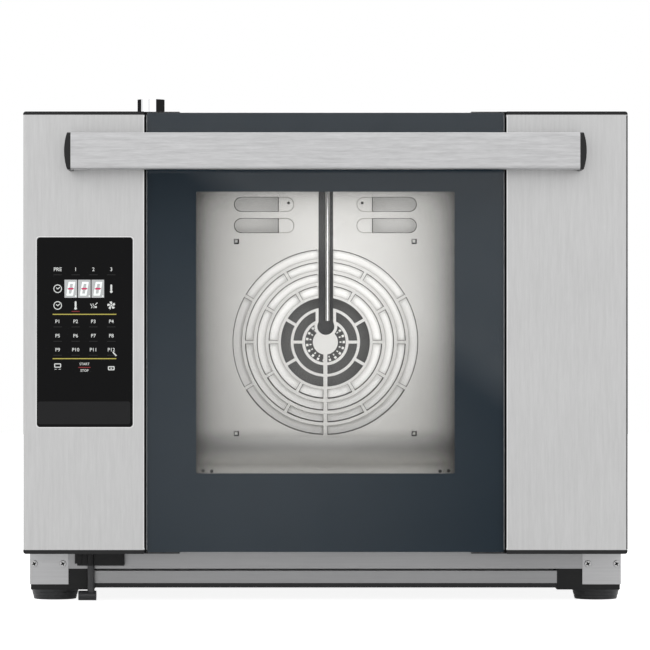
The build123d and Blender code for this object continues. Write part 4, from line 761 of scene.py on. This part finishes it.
rowTree = repeatTree("rowOfBlocks", False)
ringTree = repeatTree("ringOfBlocks", True)
hubTabs = ({"Count": 19, "Size": (2.6, 2.0, 2.6), "Centre": (0.0, 140.0, 259.8), "Radius": 20.2},
           {"Count": 19, "Size": (2.0, 2.0, 1.4), "Centre": (0.0, 140.0, 259.8), "Radius": 16.6})
ledChips = {"count": 22, "size": (0.5, 3.0, 4.0), "first": 140.0, "step": 13.3}
ledGlow = {"color": (1.0, 0.97, 0.93, 1.0), "glow": 2.6, "roughness": 0.4}


def makeLedStrips():
    # lit covers on the inner faces of both light bars, with the chips' darker joints between them
    low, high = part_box("light_bars")
    middle = (low.y + high.y) / 2 / mm
    edge = high.x / mm - 10.5
    rows = [{"Count": ledChips["count"], "Size": (0.4, 13.0, 12.4), "Centre": (side * (edge - 0.3), middle, ledChips["first"]),
             "Step": (0.0, 0.0, ledChips["step"])} for side in (-1, 1)]
    makeRepeat("led_covers", "door", glowMaterial("ledGlow", ledGlow), rowTree, rows)


makeGuardEdges()
makeRepeat("hub_tabs", "fan", steelMaterial("tabSteel", {**impellerSteel, "color": tone(236, 236, 232)}),
           ringTree, hubTabs)
makeLedStrips()
print("guard edges, hub tabs and lights made")


# Turned details at the rear: centre on X and Z, then the closed profile of depth and radius in millimetres
def toothed(start, pitch, count, root, crest, inner, slant=0.5):
    # the profile of a thread or of hose barbs
    teeth = []
    for tooth in range(count):
        teeth += [(start + tooth * pitch, root), (start + (tooth + slant) * pitch, crest)]
    return teeth + [(start + count * pitch, root), (start + count * pitch, inner), (start, inner)]


rearPieces = {
    "inlet_thread": {"node": "water_inlet_valve", "at": ((-120.0, 110.0),),
                     "profile": toothed(321.0, 1.8, 5, 13.3, 14.2, 12.9)},
    "drain_barbs": {"node": "drain_fitting", "at": ((0.0, 70.0),), "profile": None},
    "stud_thread": {"node": "earth_stud", "at": ((245.0, 82.0),),
                    "profile": toothed(324.6, 1.0, 6, 3.02, 3.4, 2.8)},
    "cooling_fan_screws": {"node": "casing_screws",
                           "at": tuple((-190.0 + x, 400.0 + z) for x in (-35.75, 35.75) for z in (-35.75, 35.75)),
                           "profile": [(316.02, 0.9), (316.02, 3.4), (316.9, 3.3), (317.6, 2.6), (317.9, 1.7),
                                       (317.9, 0.9)]},
}
glandRibs = ({"Count": 16, "Size": (1.5, 7.0, 1.5), "Centre": (200.0, 326.0, 82.0), "Radius": 11.1},)


def addLathe(sketch, x, z, profile, steps=28):
    # a closed profile turned about an axis along Y
    rings = []
    for step in range(steps):
        angle = 2 * math.pi * step / steps
        rings.append([sketch.verts.new(((x + radius * math.cos(angle)) * mm, y * mm, (z + radius * math.sin(angle)) * mm))
                      for y, radius in profile])
    for step in range(steps):
        ring, after = rings[step], rings[(step + 1) % steps]
        for index in range(len(profile)):
            other = (index + 1) % len(profile)
            sketch.faces.new((ring[index], ring[other], after[other], after[index]))


def makeRearPieces():
    slots = {row["node"]: row["material_slot"] for row in record["subparts"]}
    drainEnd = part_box("drain_fitting")[1].y / mm
    for name, look in rearPieces.items():
        profile = look["profile"] or toothed(drainEnd - 10.0, 3.0, 3, 11.1, 12.1, 10.8, 0.15)
        sketch = bmesh.new()
        for x, z in look["at"]:
            addLathe(sketch, x, z, profile)
        slot = slots[look["node"]]
        finishPiece(meshFrom(sketch, name), name, "cabinet", finishes[slot])
    makeRepeat("gland_ribs", "cabinet", finishes["black_plastic"], ringTree, glandRibs)


makeRearPieces()
print("rear details made")


# Half-round spout that leads the drips down in front of the drip block
dripSpout = {"x": -236.8, "radius": 3.5, "low": 35.8, "high": 47.8, "steps": 14, "rib": (-250.4, -246.2, 1.6)}


def makeDripSpout():
    look = dripSpout
    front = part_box("drip_block")[0].y
    sketch = bmesh.new()
    ring = []
    for step in range(look["steps"] + 1):
        angle = math.pi * step / look["steps"]
        ring.append((look["x"] + look["radius"] * math.cos(angle), -look["radius"] * math.sin(angle)))
    left, right, depth = look["rib"]
    for outline in (ring, [(left, 0.0), (left, -depth), (right, -depth), (right, 0.0)]):
        ends = [[sketch.verts.new((x * mm, front + y * mm, z * mm)) for x, y in outline]
                for z in (look["low"], look["high"])]
        sketch.faces.new(ends[0])
        sketch.faces.new(list(reversed(ends[1])))
        for index in range(len(outline)):
            after = (index + 1) % len(outline)
            sketch.faces.new((ends[0][index], ends[1][index], ends[1][after], ends[0][after]))
    return finishPiece(meshFrom(sketch, "drip_spout"), "drip_spout", "cabinet", finishes["black_plastic"])


makeDripSpout()


# Painted shade in the cross recesses of the front screws: dark crosses laid over the screw heads
screwMarks = {"places": (-294.5, -265.5, 265.5, 294.5), "level": 37.0, "arm": 1.9, "width": 1.25, "turn": 30,
              "color": tone(14, 14, 14)}


def makeScrewMarks():
    look = screwMarks
    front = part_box("corner_plates")[0].y - 1.86 * mm
    sketch = bmesh.new()
    for x in look["places"]:
        for turn in (look["turn"], look["turn"] + 90):
            way = Vector((math.cos(math.radians(turn)), math.sin(math.radians(turn)))) * look["arm"]
            outline = bar((x - way.x, look["level"] - way.y), (x + way.x, look["level"] + way.y), look["width"])
            addPlate(sketch, [(a * mm, b * mm) for a, b in outline], front, front + 0.2 * mm)
    ink = mouldedMaterial("screwRecessShade", {"color": look["color"], "pebble": 900, "shade": 0.3, "roughness": 0.8,
                                          "spread": 0.1, "depth": 0.00001, "ior": 1.15})
    finishPiece(meshFrom(sketch, "screw_recess_shades"), "screw_recess_shades", "cabinet", ink)


makeScrewMarks()


# Lettering and signs of the touch panel: places in millimetres on X and Z
touchPanel = {
    "columns": (-265.7, -247.9, -230.3, -212.5),
    "topRow": 333.6, "signRow": 314.5, "modeRow": 297.9,
    "programRows": (281.9, 267.7, 253.8), "lastRow": 236.8,
    "lineSpan": (-270.7, -207.5), "lines": (289.1, 245.1),
    "letter": 5.1, "smallLetter": 4.9, "lift": 0.02, "ink": 0.05,
    "white": tone(205, 207, 205), "faint": tone(56, 56, 56), "yellow": tone(176, 166, 84), "red": tone(130, 50, 52),
}
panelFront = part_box("control_glass")[0].y


def inkMaterial(name, color, glow=0.35):
    # lettering lit from behind, faintly
    material, tree, shader = startMaterial(name)
    skin = useGroup(tree, mouldGroup, Color=color, Pebble=2000.0, Shade=0.15, Roughness=0.4, Spread=0.1)
    tree.links.new(skin["Color"], shader.inputs["Base Color"])
    tree.links.new(skin["Color"], shader.inputs["Emission Color"])
    tree.links.new(skin["Roughness"], shader.inputs["Roughness"])
    setShader(shader, Emission_Strength=glow, IOR=1.2)
    return material


def letterMesh(words, x, z, size):
    # words centred on a place of the panel
    curve = bpy.data.curves.new("letters", "FONT")
    curve.body = words
    curve.size = size * mm
    curve.align_x = "CENTER"
    curve.align_y = "CENTER"
    curve.resolution_u = 3
    curve.offset = 0.010 * size * mm
    curve.extrude = touchPanel["ink"] * mm / 2
    holder = bpy.data.objects.new("letters", curve)
    bpy.context.scene.collection.objects.link(holder)
    bpy.context.view_layer.update()
    mesh = bpy.data.meshes.new_from_object(holder.evaluated_get(bpy.context.evaluated_depsgraph_get()))
    bpy.data.objects.remove(holder)
    turned = Matrix.Translation((x * mm, panelFront - (touchPanel["lift"] + touchPanel["ink"] / 2) * mm, z * mm))
    mesh.transform(turned @ Matrix.Rotation(math.radians(90), 4, "X"))
    return mesh


def addInk(sketch, outline):
    lift = panelFront - touchPanel["lift"] * mm
    addPlate(sketch, [(x * mm, z * mm) for x, z in outline], lift - touchPanel["ink"] * mm, lift)


def addInkRing(sketch, outline, hole):
    lift = panelFront - touchPanel["lift"] * mm
    scaled = [[(x * mm, z * mm) for x, z in loop] for loop in (outline, hole)]
    addFrame(sketch, *scaled, lift - touchPanel["ink"] * mm, lift)


def addClock(sketch, x, z):
    addInkRing(sketch, disc((x, z), 4.2), disc((x, z), 3.4))
    addInk(sketch, bar((x, z - 0.2), (x - 1.5, z + 1.0), 0.8))
    addInk(sketch, bar((x, z - 0.5), (x + 2.1, z + 1.6), 0.8))


def addThermometer(sketch, x, z):
    addInk(sketch, roundedBox((x - 0.9, z - 1.6), (x + 0.9, z + 4.2), 0.85))
    addInk(sketch, disc((x, z - 2.9), 1.35, 20))


def addSteam(sketch, x, z):
    for turn in (-1.9, 0.3):
        points = [(x + turn + 0.7 * math.sin(step * 0.9), z - 2.6 + step * 0.75) for step in range(7)]
        for start, end in zip(points, points[1:]):
            addInk(sketch, bar(start, end, 0.7))
    addInk(sketch, bar((x + 1.9, z + 0.6), (x + 4.0, z + 2.8), 0.8))
    addInk(sketch, disc((x + 2.6, z - 1.6), 1.0, 16))


def addFanSign(sketch, x, z):
    for blade in range(5):
        start = 2 * math.pi * blade / 5
        arc = [(x + radius * math.cos(start + sweep), z + radius * math.sin(start + sweep))
               for radius, sweep in ((0.9, 0.0), (2.6, -0.1), (4.0, 0.2), (4.1, 0.75), (3.0, 0.8), (1.4, 0.7))]
        addInk(sketch, arc)
    addInk(sketch, disc((x, z), 0.8, 16))


def addTraySign(sketch, x, z):
    addInkRing(sketch, roundedBox((x - 3.4, z - 0.6), (x + 3.4, z + 3.6), 0.8),
               roundedBox((x - 2.5, z + 0.3), (x + 2.5, z + 2.7), 0.4))
    addInk(sketch, bar((x - 3.0, z - 2.2), (x - 1.0, z - 2.2), 0.5))
    addInk(sketch, bar((x + 1.0, z - 2.2), (x + 3.0, z - 2.2), 0.5))


def addLockSign(sketch, x, z):
    addInkRing(sketch, roundedBox((x - 3.3, z - 3.2), (x + 3.3, z + 0.8), 0.9),
               roundedBox((x - 2.3, z - 2.3), (x + 2.3, z - 0.1), 0.5))
    addInk(sketch, bar((x - 0.9, z - 1.2), (x + 0.9, z - 1.2), 0.9))


def slanted(x, z, outline):
    # points of a digit, leaning to the right
    return [(x + px + 0.17 * pz, z + pz) for px, pz in outline]


def addDigit(sketch, x, z):
    # the six outer strokes of an eight, as thin bevelled segments
    look = displayCells
    half, tall, stroke, gap = look["digit"][0] / 2, look["digit"][1] / 2, look["stroke"], 0.25
    for level in (tall, -tall):
        inner = level - math.copysign(stroke, level)
        addInk(sketch, slanted(x, z, [(-half, level), (half, level), (half - stroke, inner), (stroke - half, inner)]))
    for edge in (half, -half):
        inner = edge - math.copysign(stroke, edge)
        for low, high, notch in ((gap, tall - gap, 0.0), (gap - tall, -gap, 0.0)):
            addInk(sketch, slanted(x, z, [(edge, low), (edge, high), (inner, high - stroke * 0.6),
                                          (inner, low + stroke * 0.6)]))


displayCells = {"x": (-258.9, -219.6), "z": (305.6, 323.4), "gap": 1.0, "digit": (6.6, 13.6), "stroke": 1.9,
                "back": tone(176, 178, 178), "segment": tone(240, 246, 244), "dash": tone(196, 52, 96), "glow": 0.35}


def makeDisplay():
    look = displayCells
    width = (look["x"][1] - look["x"][0] - 2 * look["gap"]) / 3
    middles = [look["x"][0] + width / 2 + index * (width + look["gap"]) for index in range(3)]
    level = sum(look["z"]) / 2
    cells, digits, dashes = bmesh.new(), bmesh.new(), bmesh.new()
    for middle in middles:
        addInk(cells, roundedBox((middle - width / 2, look["z"][0]), (middle + width / 2, look["z"][1]), 0.3))
        addDigit(digits, middle, level)
        addInk(digits, disc((middle + width / 2 - 1.3, look["z"][0] + 1.6), 0.7, 12))
        addInk(dashes, slanted(middle, level, [(-2.9, 0.0), (-2.0, 0.8), (2.0, 0.8), (2.9, 0.0), (2.0, -0.8),
                                               (-2.0, -0.8)]))
    for sketch, name, color, lift in ((cells, "display_cells", look["back"], 0.0),
                                      (digits, "display_digits", look["segment"], 1.0),
                                      (dashes, "display_dashes", look["dash"], 1.0)):
        bmesh.ops.translate(sketch, vec=(0.0, -lift * (touchPanel["ink"] + 0.01) * mm, 0.0), verts=sketch.verts)
        finishPiece(meshFrom(sketch, name), name, "door", inkMaterial(name.replace("_", " ").title().replace(" ", ""),
                                                                      color, look["glow"]))


# Lower band of the glass, and the pale rim that holds the glass in the steel: the rim is real, and its lighter tone
# than the door steel is a painted highlight
panelTrim = {"band": ((-285.4, 180.0), (-193.6, 202.6)), "bandTone": tone(36, 36, 37), "rim": 1.0, "rimLift": 0.25,
             "rimHighlightTone": tone(232, 232, 232)}


def makePanelTrim():
    look = panelTrim
    low, high = look["band"]
    sketch = bmesh.new()
    addInk(sketch, roundedBox(low, high, 2.2))
    finishPiece(meshFrom(sketch, "panel_band"), "panel_band", "door", inkMaterial("bandInk", look["bandTone"], 0.1))
    low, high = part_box("control_glass")
    sketch = bmesh.new()
    outline, hole = [roundedBox((low.x - grow, low.z - grow), (high.x + grow, high.z + grow), 2.6 * mm + grow)
                     for grow in (look["rim"] * mm, 0.02 * mm)]
    addFrame(sketch, outline, hole, doorFace - look["rimLift"] * mm, doorFace - 0.01 * mm)
    # the rim's lighter copy of the door steel: painted highlight
    finishPiece(meshFrom(sketch, "panel_rim"), "panel_rim", "door",
                steelMaterial("rimHighlightSteel", {**doorSteel, "color": look["rimHighlightTone"], "roughness": 0.3}))


def makePanelSigns():
    look = touchPanel
    columns = look["columns"]
    words = [(word, x, look["topRow"], look["letter"]) for word, x in zip(("PRE", "1", "2", "3"), columns)]
    for row, z in enumerate(look["programRows"]):
        words += [(f"P{4 * row + column + 1}", x, z, look["smallLetter"]) for column, x in enumerate(columns)]
    middle = (columns[1] + columns[2]) / 2
    words += [("START", middle, look["lastRow"] + 2.9, 3.4), ("STOP", middle, look["lastRow"] - 3.6, 3.4)]
    sketch = bmesh.new()
    for word in words:
        mesh = letterMesh(*word)
        sketch.from_mesh(mesh)
        bpy.data.meshes.remove(mesh)
    addClock(sketch, columns[0], look["signRow"])
    addThermometer(sketch, columns[3], look["signRow"])
    addClock(sketch, columns[0], look["modeRow"])
    addThermometer(sketch, columns[1], look["modeRow"])
    addSteam(sketch, columns[2], look["modeRow"])
    addFanSign(sketch, columns[3], look["modeRow"])
    addTraySign(sketch, columns[0], look["lastRow"])
    addInk(sketch, bar((columns[3] + 1.6, look["programRows"][2] - 2.2), (columns[3] + 5.0, look["programRows"][2] - 6.0),
                       1.3))
    addLockSign(sketch, columns[3], look["lastRow"])
    return finishPiece(meshFrom(sketch, "panel_signs"), "panel_signs", "door",
                       inkMaterial("whiteInk", look["white"]))


def makePanelLines():
    look = touchPanel
    sketch = bmesh.new()
    for z in look["lines"]:
        addInk(sketch, bar((look["lineSpan"][0], z), (look["lineSpan"][1], z), 0.9))
    finishPiece(meshFrom(sketch, "panel_lines"), "panel_lines", "door",
                inkMaterial("yellowInk", look["yellow"]))
    sketch = bmesh.new()
    middle = (look["columns"][1] + look["columns"][2]) / 2
    addInk(sketch, bar((middle - 6.0, look["lastRow"] - 0.4), (middle + 6.0, look["lastRow"] - 0.4), 0.8))
    addInk(sketch, bar((look["columns"][1] - 4.0, look["modeRow"] - 5.9),
                       (look["columns"][1] + 4.0, look["modeRow"] - 5.9), 0.7))
    finishPiece(meshFrom(sketch, "panel_red_marks"), "panel_red_marks", "door",
                inkMaterial("redInk", look["red"]))
    sketch = bmesh.new()
    for x in look["columns"]:
        for z in (look["topRow"], *look["programRows"]):
            addInk(sketch, bar((x - 4.2, z - 5.3), (x + 4.2, z - 5.3), 0.35))
    finishPiece(meshFrom(sketch, "panel_touch_marks"), "panel_touch_marks", "door",
                inkMaterial("faintInk", look["faint"]))


makePanelSigns()
makePanelLines()
makeDisplay()
makePanelTrim()
print("touch panel made")


# Studio: pale floor, soft lamps and the camera
studio = {
    "white": (1.0, 1.0, 1.0, 1.0), "worldLight": 0.82, "floorColor": (0.80, 0.80, 0.80, 1.0), "floorSize": 12.0,
    "floorGlow": 0.90, "floorShine": 0.16,
    "lamps": (
        ("keyLamp", (-2.4, -2.6, 2.3), (1.8, 1.8), 17.0),
        ("fillLamp", (2.6, -2.2, 1.5), (1.8, 1.8), 5.0),
        ("backLamp", (0.6, 2.8, 2.2), (1.6, 1.6), 6.0),
    ),
    "target": (0.0, 0.0, 0.25),
    "insideLamps": (
        ("chamberLamp", (0.012, -0.19, 0.300), (0.012, 0.12, 0.300), (0.22, 0.24), 0.34),
        ("ceilingLamp", (0.0, 0.0, 0.425), (0.0, 0.02, 0.0), (0.24, 0.24), 0.05),
        ("fanSpaceLamp", (0.0, 0.131, 0.398), (0.0, 0.2, 0.398), (0.22, 0.05), 0.016),
    ),
}
viewpoint = {"distance": 4.0, "across": -0.0004, "height": 0.2785, "lens": 223.2, "sensor": 36.0}


def seenDirectly(tree):
    # 1 for rays from the camera, from mirrors and through glass
    path = addNode(tree, "ShaderNodeLightPath").outputs
    either = addMath(tree, "MAXIMUM", path["Is Camera Ray"], path["Is Glossy Ray"])
    return addMath(tree, "MAXIMUM", either, path["Is Transmission Ray"])


def makeWorld():
    world = bpy.data.worlds.new("studioWorld")
    world.use_nodes = True
    bpy.context.scene.world = world
    tree = world.node_tree
    light = tree.nodes["Background"]
    light.inputs["Color"].default_value = studio["white"]
    light.inputs["Strength"].default_value = studio["worldLight"]
    seen = addNode(tree, "ShaderNodeBackground", {"Color": studio["white"], "Strength": 1.0})
    mix = addNode(tree, "ShaderNodeMixShader", {0: seenDirectly(tree), 1: light.outputs[0], 2: seen.outputs[0]})
    tree.links.new(mix.outputs[0], tree.nodes["World Output"].inputs["Surface"])


def makeFloor():
    half = studio["floorSize"] / 2
    sketch = bmesh.new()
    corners = [sketch.verts.new((x * half, y * half, 0)) for x, y in ((-1, -1), (1, -1), (1, 1), (-1, 1))]
    sketch.faces.new(corners)
    mesh = bpy.data.meshes.new("floor")
    sketch.to_mesh(mesh)
    sketch.free()
    floor = bpy.data.objects.new("floor", mesh)
    bpy.context.scene.collection.objects.link(floor)
    material, tree, shader = startMaterial("paleFloor")
    tree.nodes.remove(shader)
    paint = addNode(tree, "ShaderNodeBsdfDiffuse", {"Color": studio["floorColor"]})
    path = addNode(tree, "ShaderNodeLightPath").outputs
    shine = addMath(tree, "MULTIPLY", path["Is Glossy Ray"], studio["floorShine"])
    seen = addMath(tree, "MAXIMUM", path["Is Camera Ray"], path["Is Transmission Ray"])
    lift = addMath(tree, "MULTIPLY_ADD", seen, studio["floorGlow"], shine)
    glow = addNode(tree, "ShaderNodeEmission", {"Color": studio["white"], "Strength": lift})
    both = addNode(tree, "ShaderNodeAddShader", {0: paint.outputs[0], 1: glow.outputs[0]})
    tree.links.new(both.outputs[0], tree.nodes["Material Output"].inputs["Surface"])
    mesh.materials.append(material)


def addLamp(name, place, aim, size, power):
    lamp = bpy.data.lights.new(name, "AREA")
    lamp.shape = "RECTANGLE"
    lamp.size, lamp.size_y = size
    lamp.energy = power
    holder = bpy.data.objects.new(name, lamp)
    holder.location = place
    holder.rotation_euler = (Vector(aim) - Vector(place)).to_track_quat("-Z", "Y").to_euler()
    bpy.context.scene.collection.objects.link(holder)
    return holder


def makeLamps():
    for name, place, size, power in studio["lamps"]:
        addLamp(name, place, studio["target"], size, power)
    for name, place, aim, size, power in studio["insideLamps"]:
        addLamp(name, place, aim, size, power).visible_camera = False


def makeCamera():
    view = bpy.data.cameras.new("camera")
    view.lens = viewpoint["lens"]
    view.sensor_width = viewpoint["sensor"]
    view.clip_end = 50.0
    holder = bpy.data.objects.new("camera", view)
    holder.location = (viewpoint["across"], doorFace - viewpoint["distance"], viewpoint["height"])
    holder.rotation_euler = (math.radians(90), 0.0, 0.0)
    bpy.context.scene.collection.objects.link(holder)
    bpy.context.scene.camera = holder


# Booth of cards around the oven, which only sharp mirror images show: the pane and the polished chimney.
# The front card stands this far before the door; places on it are in metres, on X and Z.
booth = {"half": 3.0, "front": 0.9, "back": 2.6, "top": 2.6, "dark": 0.02,
         "edgeStart": (-0.1586, 0.4730), "edgeEnd": (0.2196, 0.1934), "edgeSoft": 0.02, "topEdge": (0.480, 0.500),
         "bright": 0.92, "poolCentre": (-0.0917, 0.1387), "poolSize": 0.44, "poolLight": 0.78,
         "upper": (0.545, 0.56), "upperLight": 1.15, "upperEnd": (0.95, 1.05), "stand": (-0.5, 0.040, 0.22)}


def ramp(tree, value, start, end, low, high, smooth=False):
    kind = "SMOOTHSTEP" if smooth else "LINEAR"
    return addNode(tree, "ShaderNodeMapRange", {"Value": value, "From Min": start, "From Max": end, "To Min": low,
                                                "To Max": high}, interpolation_type=kind).outputs[0]


def mixed(tree, share, first, second):
    return addMath(tree, "MULTIPLY_ADD", addMath(tree, "SUBTRACT", second, first), share, first)


def boothMaterial():
    look = booth
    material, tree, shader = startMaterial("boothCards")
    tree.nodes.remove(shader)
    place = addNode(tree, "ShaderNodeTexCoord").outputs["Object"]
    x, y, z = addNode(tree, "ShaderNodeSeparateXYZ", {0: place}).outputs
    along = Vector(look["edgeEnd"]) - Vector(look["edgeStart"])
    across = Vector((-along.y, along.x)).normalized()
    level = across.dot(Vector(look["edgeStart"]))
    side = addMath(tree, "MULTIPLY_ADD", x, across.x, addMath(tree, "MULTIPLY_ADD", z, across.y, -level))
    bright = addMath(tree, "MAXIMUM", ramp(tree, side, -look["edgeSoft"], look["edgeSoft"], 0.0, 1.0),
                     ramp(tree, z, *look["topEdge"], 0.0, 1.0))
    fromX = addMath(tree, "SUBTRACT", x, look["poolCentre"][0])
    fromZ = addMath(tree, "SUBTRACT", z, look["poolCentre"][1])
    away = addMath(tree, "SQRT", addMath(tree, "MULTIPLY_ADD", fromX, fromX, addMath(tree, "MULTIPLY", fromZ, fromZ)))
    pool = ramp(tree, away, 0.0, look["poolSize"], look["poolLight"], look["dark"], smooth=True)
    front = mixed(tree, bright, pool, look["bright"])
    stand = addMath(tree, "COMPARE", x, look["stand"][0], look["stand"][1])
    upper = addMath(tree, "MULTIPLY", ramp(tree, x, *look["upperEnd"], look["upperLight"], look["dark"]),
                    mixed(tree, stand, 1.0, look["stand"][2]))
    front = mixed(tree, ramp(tree, z, *look["upper"], 0.0, 1.0), front, upper)
    sides = addMath(tree, "MULTIPLY", addMath(tree, "LESS_THAN", y, 0.0), addMath(tree, "LESS_THAN", x, 0.0))
    around = mixed(tree, sides, look["dark"], look["bright"])
    onFront = addMath(tree, "LESS_THAN", y, doorFace - look["front"] + 0.001)
    glow = addNode(tree, "ShaderNodeEmission", {"Color": studio["white"], "Strength": mixed(tree, onFront, around, front)})
    path = addNode(tree, "ShaderNodeLightPath").outputs
    sharp = addMath(tree, "MULTIPLY", path["Is Glossy Ray"], path["Is Singular Ray"])
    clear = addNode(tree, "ShaderNodeBsdfTransparent")
    mix = addNode(tree, "ShaderNodeMixShader", {0: sharp, 1: clear.outputs[0], 2: glow.outputs[0]})
    tree.links.new(mix.outputs[0], tree.nodes["Material Output"].inputs["Surface"])
    return material


def makeBooth():
    look = booth
    spans = ((-look["half"], look["half"]), (doorFace - look["front"], look["back"]), (0.0, look["top"]))
    sketch = bmesh.new()
    corners = [[[sketch.verts.new((x, y, z)) for z in spans[2]] for y in spans[1]] for x in spans[0]]
    for near, far in (((0, 0), (1, 0)), ((1, 0), (1, 1)), ((1, 1), (0, 1)), ((0, 1), (0, 0))):
        low, high = corners[near[0]][near[1]], corners[far[0]][far[1]]
        sketch.faces.new((low[0], low[1], high[1], high[0]))
    mesh = bpy.data.meshes.new("reflection_booth")
    sketch.to_mesh(mesh)
    sketch.free()
    mesh.materials.append(boothMaterial())
    cards = bpy.data.objects.new("reflection_booth", mesh)
    cards.visible_camera = False
    cards.visible_diffuse = False
    cards.visible_transmission = False
    cards.visible_volume_scatter = False
    cards.visible_shadow = False
    bpy.context.scene.collection.objects.link(cards)


makeWorld()
makeFloor()
makeBooth()
makeLamps()
makeCamera()
bpy.context.scene.view_settings.view_transform = "Standard"
print("studio made")
